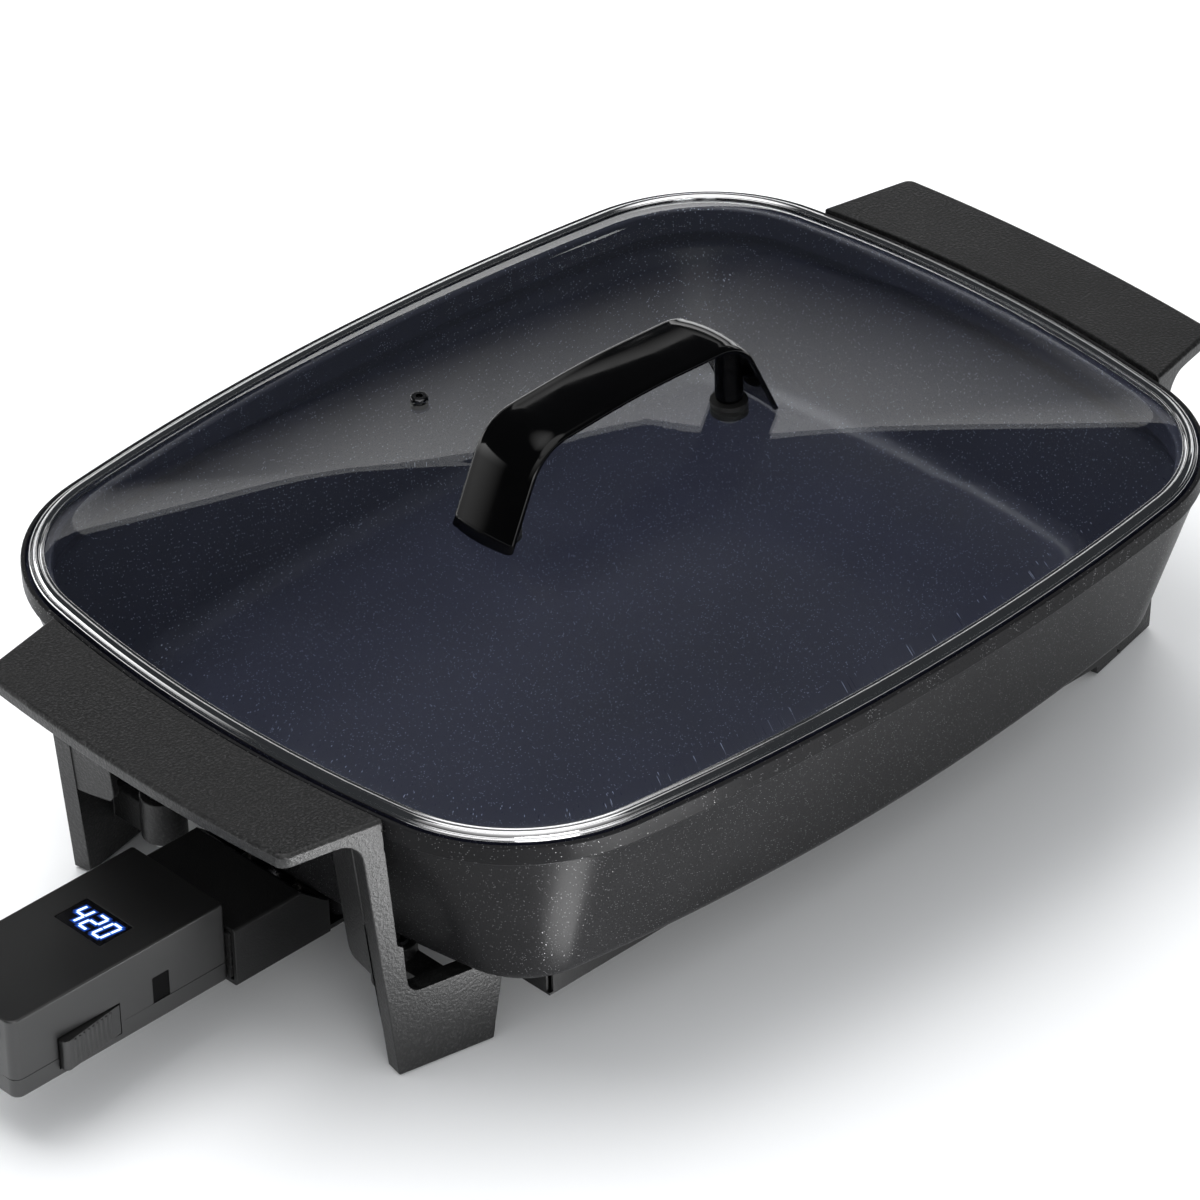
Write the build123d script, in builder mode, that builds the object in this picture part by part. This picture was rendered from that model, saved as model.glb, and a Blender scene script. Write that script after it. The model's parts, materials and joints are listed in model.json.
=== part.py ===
from build123d import *
import math
import os

os.makedirs("parts", exist_ok=True)

# Electric griddle of the deep kind: a cast pan on two handle frames, a glass lid, a plug-in controller.
# Millimetres. Origin under the middle of the pan on the worktop, +Z up, the controller at -X.

# ------------------------------------------------------------------ driving dimensions
LID_HALF_LENGTH = 208.0
LID_HALF_WIDTH = 164.4
END_ARC_RADIUS = 610.0
SIDE_ARC_RADIUS = 1011.0
CORNER_RADIUS = 70.0

RIM_TOP = 116.5
BAND_HEIGHT = 8.0
BAND_GROW = 3.0
LIP_THICKNESS = 1.8
LEDGE_Z = 112.5
THROAT_GROW = -9.5
WALL_TOP_GROW = 1.5
WALL_FOOT_GROW = -24.0
FOOT_CORNER_LOSS = 15.0
WALL_THICKNESS = 3.6
FLOOR_UNDERSIDE = 37.0
FLOOR_THICKNESS = 4.0
PAN_FILLET = 14.0
CAVITY_FILLET = 12.0

PLATE_TOP = 117.7
PLATE_THICKNESS = 5.7
PLATE_OUTER = (246.3, 83.3)
PLATE_INNER = (206.7, 91.5)
PLATE_BOW = 4.0
PLATE_GAP = 1.2
PLATE_TUCK = 30.0
PLATE_CORNER = 5.0
PLATE_BEVEL = 1.2
LEG_THICKNESS = 8.0
FOOT_TOP = 36.0
PAD_HEIGHT = 0.8
FRAME_BOSS = (180.0, 65.0)
FRAME_BOSS_RADIUS = 9.0
FRAME_BOSS_BOTTOM = 18.0

GLASS_THICKNESS = 4.0
GLASS_EDGE_Z = 113.6
DOME_HEIGHT = 15.0
RING_WIDTH = 6.2
HANDLE_WIDTH = 32.0
HANDLE_THICKNESS = 4.0
HANDLE_FOOT_X = 73.5
HANDLE_SHOULDER_X = 54.5
HANDLE_SHOULDER_Z = 171.5
HANDLE_TOP_Z = 174.2
HANDLE_BOSS_X = 60.0
HANDLE_BOSSES = [(HANDLE_BOSS_X, 0.0), (-HANDLE_BOSS_X, 0.0)]
VENT = (-18.0, 92.0)

SHIELD_HALF_LENGTH = 154.0
SHIELD_HALF_WIDTH = 121.0
SHIELD_BOTTOM = 26.0
SHEET = 1.0
ELEMENT_Z = 33.5
ELEMENT_RADIUS = 3.4
PIN_Y = 14.0
PROBE_Z = 32.2
PROBE_RADIUS = 3.1

GUARD_HALF_WIDTH = 29.7
GUARD_BOTTOM = 20.5
GUARD_TOP = 46.3
GUARD_MOUTH_X = -226.5
GUARD_BACK_X = -180.0
GUARD_WALL = 2.0
GUARD_CORNER = 1.5
GUARD_CUT_X = -195.0
GUARD_TAB = (17.5, 56.0)

BODY_FRONT_X = -329.0
BODY_BACK_X = -227.2
BODY_HALF_WIDTH = 25.6
BODY_BOTTOM = 22.0
BODY_PARTING = 30.5
BODY_TOP = 57.2
BODY_WALL = 2.0
NOSE_TIP_X = -194.0

# ------------------------------------------------------------------ smaller sizes
THROUGH = 60.0
PAST = 1.0
SLIP = 0.1
PRESS = 0.05
NECK_Z = 96.0
THROAT_Z = 102.0
NECK_CORNER_LOSS = 2.5
SMALL_HEAD = (4.0, 2.4)
FRAME_HEAD = (5.2, 3.2)
HANDLE_HEAD = (4.6, 2.6)
SHELL_HEAD = (2.5, 2.0)
PAN_BOSS_RADIUS = 6.0
PAN_BOSS_BOTTOM = 29.0
PAN_BOSS_TOP = 52.0
SMALL_BOSS_RADIUS = 4.5
FRAME_SCREW_RADIUS = 2.5
FRAME_SCREW_BITE = 9.0
SMALL_SCREW_RADIUS = 1.9
SMALL_SCREW_BITE = 8.0
SCREW_CLEARANCE = 0.06
GUARD_SCREWS = [(-169.0, 23.0), (-169.0, -23.0)]
SHIELD_SCREW = (105.0, 60.0)
SHIELD_HEIGHT = 10.0
SHIELD_NOTCH = 8.0
SHIELD_CORNER_SLIT = 3.6
ELEMENT_HALF_LENGTH = 134.0
ELEMENT_HALF_WIDTH = 92.0
ELEMENT_BEND = 10.0
ELEMENT_CORNER = 32.0
CLIP_X = 60.0
CLIP_WIDTH = 12.0
CLIP_SPAN = 24.0
CLIP_SHEET = 1.2
PIN_RADIUS = 2.4
PIN_TIP_X = -211.0
WELL_OUTER = 4.6
WELL_END_X = -76.0
# leg outline: distance along the plate's side edge from its outer corner, and height
LEG_OUTLINE = [
    (12.0, 112.5),
    (12.0, 112.0),
    (32.05, 112.0),
    (43.6, PAD_HEIGHT),
    (84.2, PAD_HEIGHT),
    (90.0, FOOT_TOP),
    (49.2, FOOT_TOP),
    (47.9, 58.0),
    (45.5, 59.5),
    (41.5, 112.5),
]
FLANGE_OUTLINE = [(32.0, 112.5), (39.47, 42.5), (42.97, 42.5), (35.5, 112.5)]
FLANGE_WIDTH = 26.0
FLANGE_CORNER = 5.0
LEG_CROOK = 6.0
LEG_SHOULDER = 11.0
PAD_SIZE = (34.0, 6.0)
PAD_CORNER = 2.5
FLANGE_CLEAR_Z = 85.0
FLANGE_CLEAR_GROW = -4.0
BAND_CLEAR_Z = 104.0
RIB_WIDTH = 12.0
RIB_REACH = 26.0
RIB_HEIGHT = 14.0
HANDLE_FOOT_Z = 131.0
HANDLE_BEND = 24.0
HANDLE_CROWN_RADIUS = 400.0
HANDLE_BOSS_RADIUS = 5.5
HANDLE_BORE = 14.0
HANDLE_SCREW_RADIUS = 2.0
RING_HEIGHT = 6.8
RING_FILLET = 0.7
WASHER_TOP = 133.4
WASHER_RADIUS = 7.5
UNDER_WASHER_BOTTOM = 125.2
VENT_HOLE = 2.4
VENT_FLANGE = 3.6
VENT_BORE = 1.4
SOCKET_RADIUS = 4.25
ROD_BACK_X = -262.0
ROD_TIP_X = -80.0
WINDOW_RECESS = 0.3
VENT_BOTTOM = 122.2
VENT_TOP = 129.4

# ------------------------------------------------------------------ shared shapes


def corner_centre(end_x, end_radius, side_y, side_radius):
    """Where a corner circle's centre lies: on one circle about each big arc's centre."""
    apart = math.hypot(end_x, side_y)
    along = (end_radius**2 - side_radius**2 + apart**2) / (2 * apart)
    across = math.sqrt(end_radius**2 - along**2)
    ux = -end_x / apart
    uy = side_y / apart
    return Vector(end_x + along * ux - across * uy, along * uy + across * ux)


def rim_face(grow, corner_loss=0.0, mode=Mode.ADD):
    """The pan's plan outline, eight tangent arcs, grown from the lid ring's outline."""
    half_length = LID_HALF_LENGTH + grow
    half_width = LID_HALF_WIDTH + grow
    end_radius = END_ARC_RADIUS + grow
    side_radius = SIDE_ARC_RADIUS + grow
    radius = CORNER_RADIUS + grow - corner_loss
    end = Vector(half_length - end_radius, 0)
    side = Vector(0, half_width - side_radius)
    centre = corner_centre(end.X, end_radius - radius, side.Y, side_radius - radius)
    to_end = (centre - end).normalized()
    to_side = (centre - side).normalized()
    first = end + to_end * end_radius
    last = side + to_side * side_radius
    middle = centre + (to_end + to_side).normalized() * radius
    quarter = [(first.X, first.Y), (middle.X, middle.Y), (last.X, last.Y)]
    top = quarter + [(0, half_width)] + [(-x, y) for x, y in reversed(quarter)]
    ring = top + [(-half_length, 0)] + [(-x, -y) for x, y in top] + [(half_length, 0), quarter[0]]
    with BuildLine() as outline:
        for start, via, stop in zip(ring[0::2], ring[1::2], ring[2::2]):
            ThreePointArc(start, via, stop)
    make_face(outline.edges(), mode=mode)


def screw_at(places, seat_z, head, shank_radius, shank_length):
    """Screws that point up, heads under seat_z, one separate solid at each place."""
    head_radius, head_height = head
    with BuildSketch(Plane.XY.offset(seat_z - head_height)) as head_disc:
        with Locations(*places):
            Circle(head_radius)
    extrude(head_disc.sketch, amount=head_height)
    with BuildSketch(Plane.XY.offset(seat_z)) as shank:
        with Locations(*places):
            Circle(shank_radius)
    extrude(shank.sketch, amount=shank_length)


def four(x, y):
    """The four mirrored places of one point."""
    return [(x, y), (x, -y), (-x, y), (-x, -y)]


def finish(builder, name):
    """Labels a piece and writes its file."""
    builder.part.label = name
    export_step(builder.part, f"parts/{name}.step")


# ------------------------------------------------------------------ pan
BAND_BOTTOM = RIM_TOP - BAND_HEIGHT
FLOOR_TOP = FLOOR_UNDERSIDE + FLOOR_THICKNESS
WALL_LEAN = (WALL_TOP_GROW - WALL_FOOT_GROW) / (BAND_BOTTOM - FLOOR_UNDERSIDE)
NECK_GROW = WALL_FOOT_GROW + WALL_LEAN * (NECK_Z - FLOOR_UNDERSIDE) - WALL_THICKNESS

with BuildPart() as pan_cavity:
    with BuildSketch(Plane.XY.offset(FLOOR_TOP)):
        rim_face(WALL_FOOT_GROW - WALL_THICKNESS, FOOT_CORNER_LOSS)
    with BuildSketch(Plane.XY.offset(NECK_Z)):
        rim_face(NECK_GROW, NECK_CORNER_LOSS)
    loft()
    fillet(pan_cavity.faces().sort_by(Axis.Z)[0].edges(), CAVITY_FILLET)
    with BuildSketch(Plane.XY.offset(NECK_Z)):
        rim_face(NECK_GROW, NECK_CORNER_LOSS)
    with BuildSketch(Plane.XY.offset(THROAT_Z)):
        rim_face(THROAT_GROW)
    loft()
    with BuildSketch(Plane.XY.offset(THROAT_Z)):
        rim_face(THROAT_GROW)
    extrude(amount=LEDGE_Z - THROAT_Z)
    with BuildSketch(Plane.XY.offset(LEDGE_Z)):
        rim_face(BAND_GROW - LIP_THICKNESS)
    extrude(amount=RIM_TOP - LEDGE_Z + PAST)

with BuildPart() as pan_body:
    with BuildSketch(Plane.XY.offset(FLOOR_UNDERSIDE)):
        rim_face(WALL_FOOT_GROW, FOOT_CORNER_LOSS)
    with BuildSketch(Plane.XY.offset(BAND_BOTTOM)):
        rim_face(WALL_TOP_GROW)
    loft()
    fillet(pan_body.faces().sort_by(Axis.Z)[0].edges(), PAN_FILLET)
    with BuildSketch(Plane.XY.offset(BAND_BOTTOM)):
        rim_face(BAND_GROW)
    extrude(amount=BAND_HEIGHT)
    # cast bosses that the two frames, the guard and the heat shield are screwed to
    with BuildSketch(Plane.XY.offset(PAN_BOSS_BOTTOM)):
        with Locations(*four(*FRAME_BOSS)):
            Circle(PAN_BOSS_RADIUS)
    extrude(amount=PAN_BOSS_TOP - PAN_BOSS_BOTTOM)
    with BuildSketch(Plane.XY.offset(GUARD_BOTTOM + GUARD_WALL)):
        with Locations(*GUARD_SCREWS):
            Circle(SMALL_BOSS_RADIUS)
    extrude(amount=FLOOR_TOP - GUARD_BOTTOM - GUARD_WALL)
    with BuildSketch(Plane.XY.offset(SHIELD_BOTTOM + SHEET)):
        with Locations(*four(*SHIELD_SCREW)):
            Circle(SMALL_BOSS_RADIUS)
    extrude(amount=FLOOR_TOP - SHIELD_BOTTOM - SHEET)
    add(pan_cavity.part, mode=Mode.SUBTRACT)
    # tapped holes in the bosses
    with BuildSketch(Plane.XY.offset(PAN_BOSS_BOTTOM)):
        with Locations(*four(*FRAME_BOSS)):
            Circle(FRAME_SCREW_RADIUS + SCREW_CLEARANCE)
    extrude(amount=FRAME_SCREW_BITE + PAST, mode=Mode.SUBTRACT)
    with BuildSketch(Plane.XY.offset(GUARD_BOTTOM + GUARD_WALL)):
        with Locations(*GUARD_SCREWS):
            Circle(SMALL_SCREW_RADIUS + SCREW_CLEARANCE)
    extrude(amount=SMALL_SCREW_BITE + PAST, mode=Mode.SUBTRACT)
    with BuildSketch(Plane.XY.offset(SHIELD_BOTTOM + SHEET)):
        with Locations(*four(*SHIELD_SCREW)):
            Circle(SMALL_SCREW_RADIUS + SCREW_CLEARANCE)
    extrude(amount=SMALL_SCREW_BITE + PAST, mode=Mode.SUBTRACT)
finish(pan_body, "pan_body")

# ------------------------------------------------------------------ heater under the floor
with BuildPart() as heating_element:
    with BuildLine() as element_path:
        FilletPolyline(
            (GUARD_BACK_X - GUARD_WALL, PIN_Y, ELEMENT_Z),
            (-ELEMENT_HALF_LENGTH, PIN_Y, ELEMENT_Z),
            (-ELEMENT_HALF_LENGTH, ELEMENT_HALF_WIDTH, ELEMENT_Z),
            (ELEMENT_HALF_LENGTH, ELEMENT_HALF_WIDTH, ELEMENT_Z),
            (ELEMENT_HALF_LENGTH, -ELEMENT_HALF_WIDTH, ELEMENT_Z),
            (-ELEMENT_HALF_LENGTH, -ELEMENT_HALF_WIDTH, ELEMENT_Z),
            (-ELEMENT_HALF_LENGTH, -PIN_Y, ELEMENT_Z),
            (GUARD_BACK_X - GUARD_WALL, -PIN_Y, ELEMENT_Z),
            radius=[ELEMENT_BEND] + 4 * [ELEMENT_CORNER] + [ELEMENT_BEND],
        )
    with BuildSketch(Plane(element_path.line @ 0, z_dir=(1, 0, 0))):
        Circle(ELEMENT_RADIUS)
    sweep(path=element_path.line)
finish(heating_element, "heating_element")

with BuildPart() as element_clips:
    # hat-shaped straps, their flanges flat on the pan's floor
    flange_z = FLOOR_UNDERSIDE - CLIP_SHEET / 2
    hat_radius = ELEMENT_RADIUS + CLIP_SHEET + SLIP
    bore = ELEMENT_RADIUS + PRESS
    upward = (Align.CENTER, Align.MIN)
    for side in (-1, 1):
        y = side * ELEMENT_HALF_WIDTH
        for x in (-CLIP_X, CLIP_X):
            with BuildSketch(Plane.YZ.offset(x - CLIP_WIDTH / 2)):
                with Locations((y, ELEMENT_Z)):
                    Circle(hat_radius)
                    Rectangle(2 * hat_radius, FLOOR_UNDERSIDE - ELEMENT_Z, align=upward)
                with Locations((y, flange_z)):
                    Rectangle(CLIP_SPAN, CLIP_SHEET)
                with Locations((y, ELEMENT_Z)):
                    Circle(bore, mode=Mode.SUBTRACT)
                    Rectangle(2 * bore, FLOOR_UNDERSIDE, align=upward, mode=Mode.SUBTRACT)
                with Locations((y, FLOOR_UNDERSIDE)):
                    Rectangle(CLIP_SPAN, FLOOR_UNDERSIDE, align=upward, mode=Mode.SUBTRACT)
            extrude(amount=CLIP_WIDTH)
finish(element_clips, "element_clips")

with BuildPart() as terminal_pins:
    with BuildSketch(Plane.YZ.offset(PIN_TIP_X)):
        with Locations((PIN_Y, ELEMENT_Z), (-PIN_Y, ELEMENT_Z)):
            Circle(PIN_RADIUS)
    extrude(amount=GUARD_BACK_X - GUARD_WALL - PIN_TIP_X)
    fillet(terminal_pins.edges().group_by(Axis.X)[0], PIN_RADIUS / 2)
finish(terminal_pins, "terminal_pins")

with BuildPart() as probe_well:
    with BuildSketch(Plane.YZ.offset(GUARD_BACK_X - GUARD_WALL)):
        with Locations((0, PROBE_Z)):
            Circle(WELL_OUTER)
            Circle(PROBE_RADIUS + SLIP, mode=Mode.SUBTRACT)
    extrude(amount=WELL_END_X - GUARD_BACK_X + GUARD_WALL)
finish(probe_well, "probe_well")

with BuildPart() as heat_shield:
    # folded tray, open at the controller end for the pins and the probe, its corners slit
    with BuildSketch(Plane.XY.offset(SHIELD_BOTTOM)):
        Rectangle(2 * SHIELD_HALF_LENGTH, 2 * SHIELD_HALF_WIDTH)
    extrude(amount=SHIELD_HEIGHT)
    with BuildSketch(Plane.XY.offset(SHIELD_BOTTOM + SHEET)):
        Rectangle(2 * (SHIELD_HALF_LENGTH - SHEET), 2 * (SHIELD_HALF_WIDTH - SHEET))
    extrude(amount=SHIELD_HEIGHT, mode=Mode.SUBTRACT)
    with BuildSketch(Plane.XY.offset(SHIELD_BOTTOM + SHEET)):
        with Locations((-SHIELD_HALF_LENGTH, 0)):
            Rectangle(SHIELD_NOTCH, 2 * (PIN_Y + SHIELD_NOTCH))
        with Locations(*four(SHIELD_HALF_LENGTH, SHIELD_HALF_WIDTH)):
            Rectangle(SHIELD_CORNER_SLIT, SHIELD_CORNER_SLIT)
    extrude(amount=SHIELD_HEIGHT, mode=Mode.SUBTRACT)
    with BuildSketch(Plane.XY.offset(SHIELD_BOTTOM)):
        with Locations(*four(*SHIELD_SCREW)):
            Circle(SMALL_SCREW_RADIUS + SCREW_CLEARANCE)
    extrude(amount=SHEET, mode=Mode.SUBTRACT)
finish(heat_shield, "heat_shield")

with BuildPart() as heat_shield_screws:
    reach = SHEET + SMALL_SCREW_BITE
    screw_at(four(*SHIELD_SCREW), SHIELD_BOTTOM, SMALL_HEAD, SMALL_SCREW_RADIUS, reach)
finish(heat_shield_screws, "heat_shield_screws")

# ------------------------------------------------------------------ frames: handle plate, legs, arms
plate_x, plate_y = PLATE_OUTER
inner_x, inner_y = PLATE_INNER
side_length = math.hypot(plate_x - inner_x, inner_y - plate_y)
along_side = Vector((plate_x - inner_x) / side_length, -(inner_y - plate_y) / side_length, 0)
along_edge = Axis((0, 0, 0), along_side)
leg_plane = Plane(
    origin=(-plate_x, -plate_y, 0),
    x_dir=along_side,
    z_dir=along_side.cross(Vector(0, 0, 1)),
)
PLATE_UNDERSIDE = PLATE_TOP - PLATE_THICKNESS

with BuildPart() as controller_side_frame:
    with BuildSketch(Plane.XY.offset(PLATE_UNDERSIDE)) as plate:
        with BuildLine():
            ThreePointArc((-plate_x, -plate_y), (-plate_x - PLATE_BOW, 0), (-plate_x, plate_y))
            Polyline(
                (-plate_x, plate_y),
                (-inner_x, inner_y),
                (-inner_x + PLATE_TUCK, inner_y),
                (-inner_x + PLATE_TUCK, -inner_y),
                (-inner_x, -inner_y),
                (-plate_x, -plate_y),
            )
        make_face()
        fillet(plate.vertices().sort_by(Axis.X)[:2], PLATE_CORNER)
    extrude(amount=PLATE_THICKNESS)
    top_edges = controller_side_frame.faces().sort_by(Axis.Z)[-1].edges()
    outer_edges = top_edges.filter_by_position(Axis.X, -plate_x - 2 * PLATE_BOW, -inner_x - PLATE_CORNER)
    chamfer(outer_edges, PLATE_BEVEL)
    # leg and foot, in the upright plane through the plate's side edge
    with BuildSketch(leg_plane) as leg:
        with BuildLine():
            Polyline(LEG_OUTLINE, close=True)
        make_face()
        fillet(leg.vertices().sort_by_distance(LEG_OUTLINE[2])[0], LEG_SHOULDER)
        fillet(leg.vertices().sort_by_distance(LEG_OUTLINE[6])[0], LEG_CROOK)
    extrude(amount=-LEG_THICKNESS)
    # flange along the leg's outer edge, facing the end
    with BuildSketch(leg_plane):
        with BuildLine():
            Polyline(FLANGE_OUTLINE, close=True)
        make_face()
    extrude(amount=-FLANGE_WIDTH)
    flange_corner = leg_plane.from_local_coords((*FLANGE_OUTLINE[2], -FLANGE_WIDTH))
    corner_edges = controller_side_frame.edges().filter_by(along_edge)
    fillet(corner_edges.sort_by_distance(flange_corner)[0], FLANGE_CORNER)
    # plate, leg and flange stand clear of the pan's band, and below it of the leaning wall
    with BuildSketch(Plane.XY.offset(BAND_CLEAR_Z)):
        rim_face(BAND_GROW + PLATE_GAP)
    extrude(amount=PLATE_TOP - BAND_CLEAR_Z + PAST, mode=Mode.SUBTRACT)
    with BuildSketch(Plane.XY.offset(FLANGE_CLEAR_Z)):
        rim_face(FLANGE_CLEAR_GROW)
    with BuildSketch(Plane.XY.offset(BAND_CLEAR_Z)):
        rim_face(BAND_GROW + PLATE_GAP)
    loft(mode=Mode.SUBTRACT)
    # rib and cup-shaped boss under the pan
    with BuildSketch(Plane.XY.offset(FRAME_BOSS_BOTTOM)):
        with Locations((-FRAME_BOSS[0], -(FRAME_BOSS[1] + RIB_REACH / 2))):
            Rectangle(RIB_WIDTH, RIB_REACH)
    extrude(amount=RIB_HEIGHT)
    with BuildSketch(Plane.XY.offset(FRAME_BOSS_BOTTOM)):
        with Locations((-FRAME_BOSS[0], -FRAME_BOSS[1])):
            Circle(FRAME_BOSS_RADIUS)
    extrude(amount=FLOOR_UNDERSIDE - FRAME_BOSS_BOTTOM - SLIP)
    with BuildSketch(Plane.XY.offset(PAN_BOSS_BOTTOM)):
        with Locations((-FRAME_BOSS[0], -FRAME_BOSS[1])):
            Circle(PAN_BOSS_RADIUS + 2 * SLIP)
    extrude(amount=THROUGH, mode=Mode.SUBTRACT)
    with BuildSketch(Plane.XY.offset(FRAME_BOSS_BOTTOM)):
        with Locations((-FRAME_BOSS[0], -FRAME_BOSS[1])):
            Circle(FRAME_SCREW_RADIUS + 3 * SLIP)
    extrude(amount=PAN_BOSS_BOTTOM - FRAME_BOSS_BOTTOM, mode=Mode.SUBTRACT)
    split(bisect_by=Plane.XZ, keep=Keep.TOP)
    mirror(about=Plane.XZ)
finish(controller_side_frame, "controller_side_frame")

with BuildPart() as far_side_frame:
    add(controller_side_frame.part, rotation=(0, 0, 180))
finish(far_side_frame, "far_side_frame")

foot_along = (LEG_OUTLINE[3][0] + LEG_OUTLINE[4][0]) / 2
foot_middle = leg_plane.from_local_coords(Vector(foot_along, 0, -LEG_THICKNESS / 2))
foot_angle = math.degrees(math.atan2(along_side.Y, along_side.X))
for side, name in ((1, "controller_side"), (-1, "far_side")):
    with BuildPart() as foot_pads:
        with BuildSketch():
            for mirrored in (1, -1):
                place = (side * foot_middle.X, side * mirrored * foot_middle.Y)
                with Locations(Location(place, mirrored * foot_angle)):
                    RectangleRounded(*PAD_SIZE, PAD_CORNER)
        extrude(amount=PAD_HEIGHT)
    finish(foot_pads, f"foot_pads_{name}")

    with BuildPart() as frame_screws:
        places = [(-side * FRAME_BOSS[0], y) for y in (-FRAME_BOSS[1], FRAME_BOSS[1])]
        reach = PAN_BOSS_BOTTOM - FRAME_BOSS_BOTTOM + FRAME_SCREW_BITE
        screw_at(places, FRAME_BOSS_BOTTOM, FRAME_HEAD, FRAME_SCREW_RADIUS, reach)
    finish(frame_screws, f"frame_screws_{name}")

# ------------------------------------------------------------------ guard round the terminal pins
with BuildPart() as terminal_guard:
    length = GUARD_BACK_X - GUARD_MOUTH_X
    height = GUARD_TOP - GUARD_BOTTOM
    with BuildSketch(Plane.YZ.offset(GUARD_MOUTH_X)):
        with Locations((0, GUARD_BOTTOM + height / 2)):
            RectangleRounded(2 * GUARD_HALF_WIDTH, height, GUARD_CORNER)
    extrude(amount=length)
    with BuildSketch(Plane.YZ.offset(GUARD_MOUTH_X)):
        with Locations((0, GUARD_BOTTOM + height / 2)):
            Rectangle(2 * (GUARD_HALF_WIDTH - GUARD_WALL), height - 2 * GUARD_WALL)
    extrude(amount=length - GUARD_WALL, mode=Mode.SUBTRACT)
    # the back corner is cut away to clear the pan's rounded foot
    cut_z = FLOOR_UNDERSIDE - 6 * SLIP
    with BuildSketch(Plane.XZ):
        with BuildLine():
            Polyline(
                (GUARD_CUT_X, GUARD_TOP + PAST),
                (GUARD_BACK_X - GUARD_CORNER, cut_z),
                (GUARD_BACK_X + PAST, cut_z),
                (GUARD_BACK_X + PAST, GUARD_TOP + PAST),
                close=True,
            )
        make_face()
    extrude(amount=GUARD_HALF_WIDTH + PAST, both=True, mode=Mode.SUBTRACT)
    # floor tab that the two screws go through
    with BuildSketch(Plane.XY.offset(GUARD_BOTTOM)):
        with Locations((GUARD_BACK_X - PAST, 0)):
            Rectangle(*GUARD_TAB, align=(Align.MIN, Align.CENTER))
        with Locations(*GUARD_SCREWS):
            Circle(SMALL_SCREW_RADIUS + SCREW_CLEARANCE, mode=Mode.SUBTRACT)
    extrude(amount=GUARD_WALL)
    # holes in the back wall for the element's ends and the probe well
    with BuildSketch(Plane.YZ.offset(GUARD_BACK_X - GUARD_WALL)):
        with Locations((PIN_Y, ELEMENT_Z), (-PIN_Y, ELEMENT_Z)):
            Circle(ELEMENT_RADIUS + PRESS)
        with Locations((0, PROBE_Z)):
            Circle(WELL_OUTER + PRESS)
    extrude(amount=GUARD_WALL + PAST, mode=Mode.SUBTRACT)
finish(terminal_guard, "terminal_guard")

with BuildPart() as guard_screws:
    reach = GUARD_WALL + SMALL_SCREW_BITE
    screw_at(GUARD_SCREWS, GUARD_BOTTOM, SMALL_HEAD, SMALL_SCREW_RADIUS, reach)
finish(guard_screws, "guard_screws")

# ------------------------------------------------------------------ lid
GLASS_GROW = -2.1
GLASS_TOP_EDGE = GLASS_EDGE_Z + GLASS_THICKNESS
DOME_LEVELS = (1.0, 0.94, 0.84, 0.7, 0.52, 0.32, 0.1)
HOLLOW_SCALE = 0.97


def dome_height(scale_of_outline):
    """Rise of the glass at one scaled copy of its outline."""
    return DOME_HEIGHT * (1 - scale_of_outline**2)


def dome_solid(base_scale, base_z):
    """Lofts a domed solid from scaled copies of the glass outline."""
    levels = []
    for level in DOME_LEVELS:
        with BuildSketch(Plane.XY.offset(base_z + dome_height(level))) as section:
            rim_face(GLASS_GROW)
            scale(by=level * base_scale)
        levels.append(section.sketch)
    loft(levels)


with BuildPart() as glass_hollow:
    dome_solid(HOLLOW_SCALE, GLASS_EDGE_Z)

with BuildPart() as lid_glass:
    dome_solid(1.0, GLASS_TOP_EDGE)
    with BuildSketch(Plane.XY.offset(GLASS_EDGE_Z)):
        rim_face(GLASS_GROW)
    extrude(amount=GLASS_THICKNESS)
    add(glass_hollow.part, mode=Mode.SUBTRACT)
    with BuildSketch(Plane.XY.offset(GLASS_EDGE_Z)):
        with Locations(*HANDLE_BOSSES):
            Circle(HANDLE_SCREW_RADIUS + 6 * SLIP)
        with Locations(VENT):
            Circle(VENT_HOLE)
    extrude(amount=THROUGH, mode=Mode.SUBTRACT)
finish(lid_glass, "lid_glass")

with BuildPart() as lid_rim:
    # rolled steel section: foot on the pan's ledge, outer bead, lip over the glass
    with BuildSketch(Plane.XY.offset(LEDGE_Z)):
        rim_face(0)
        rim_face(-RING_WIDTH, mode=Mode.SUBTRACT)
    extrude(amount=RING_HEIGHT)
    fillet(lid_rim.faces().sort_by(Axis.Z)[-1].edges(), RING_FILLET)
    add(lid_glass.part, mode=Mode.SUBTRACT)
finish(lid_rim, "lid_rim")


def handle_face(inset):
    """Side view of the lid handle's outer or inner face, closed across its feet."""
    foot_x = HANDLE_FOOT_X - inset
    shoulder = (HANDLE_SHOULDER_X - inset * 0.7, HANDLE_SHOULDER_Z - inset)
    with BuildLine() as outline:
        FilletPolyline(
            (-foot_x, HANDLE_FOOT_Z),
            (-shoulder[0], shoulder[1]),
            (0, HANDLE_TOP_Z - inset),
            shoulder,
            (foot_x, HANDLE_FOOT_Z),
            radius=[HANDLE_BEND - inset, HANDLE_CROWN_RADIUS, HANDLE_BEND - inset],
        )
        Line((foot_x, HANDLE_FOOT_Z), (-foot_x, HANDLE_FOOT_Z))
    make_face(outline.edges(), mode=Mode.ADD if inset == 0 else Mode.SUBTRACT)


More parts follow.
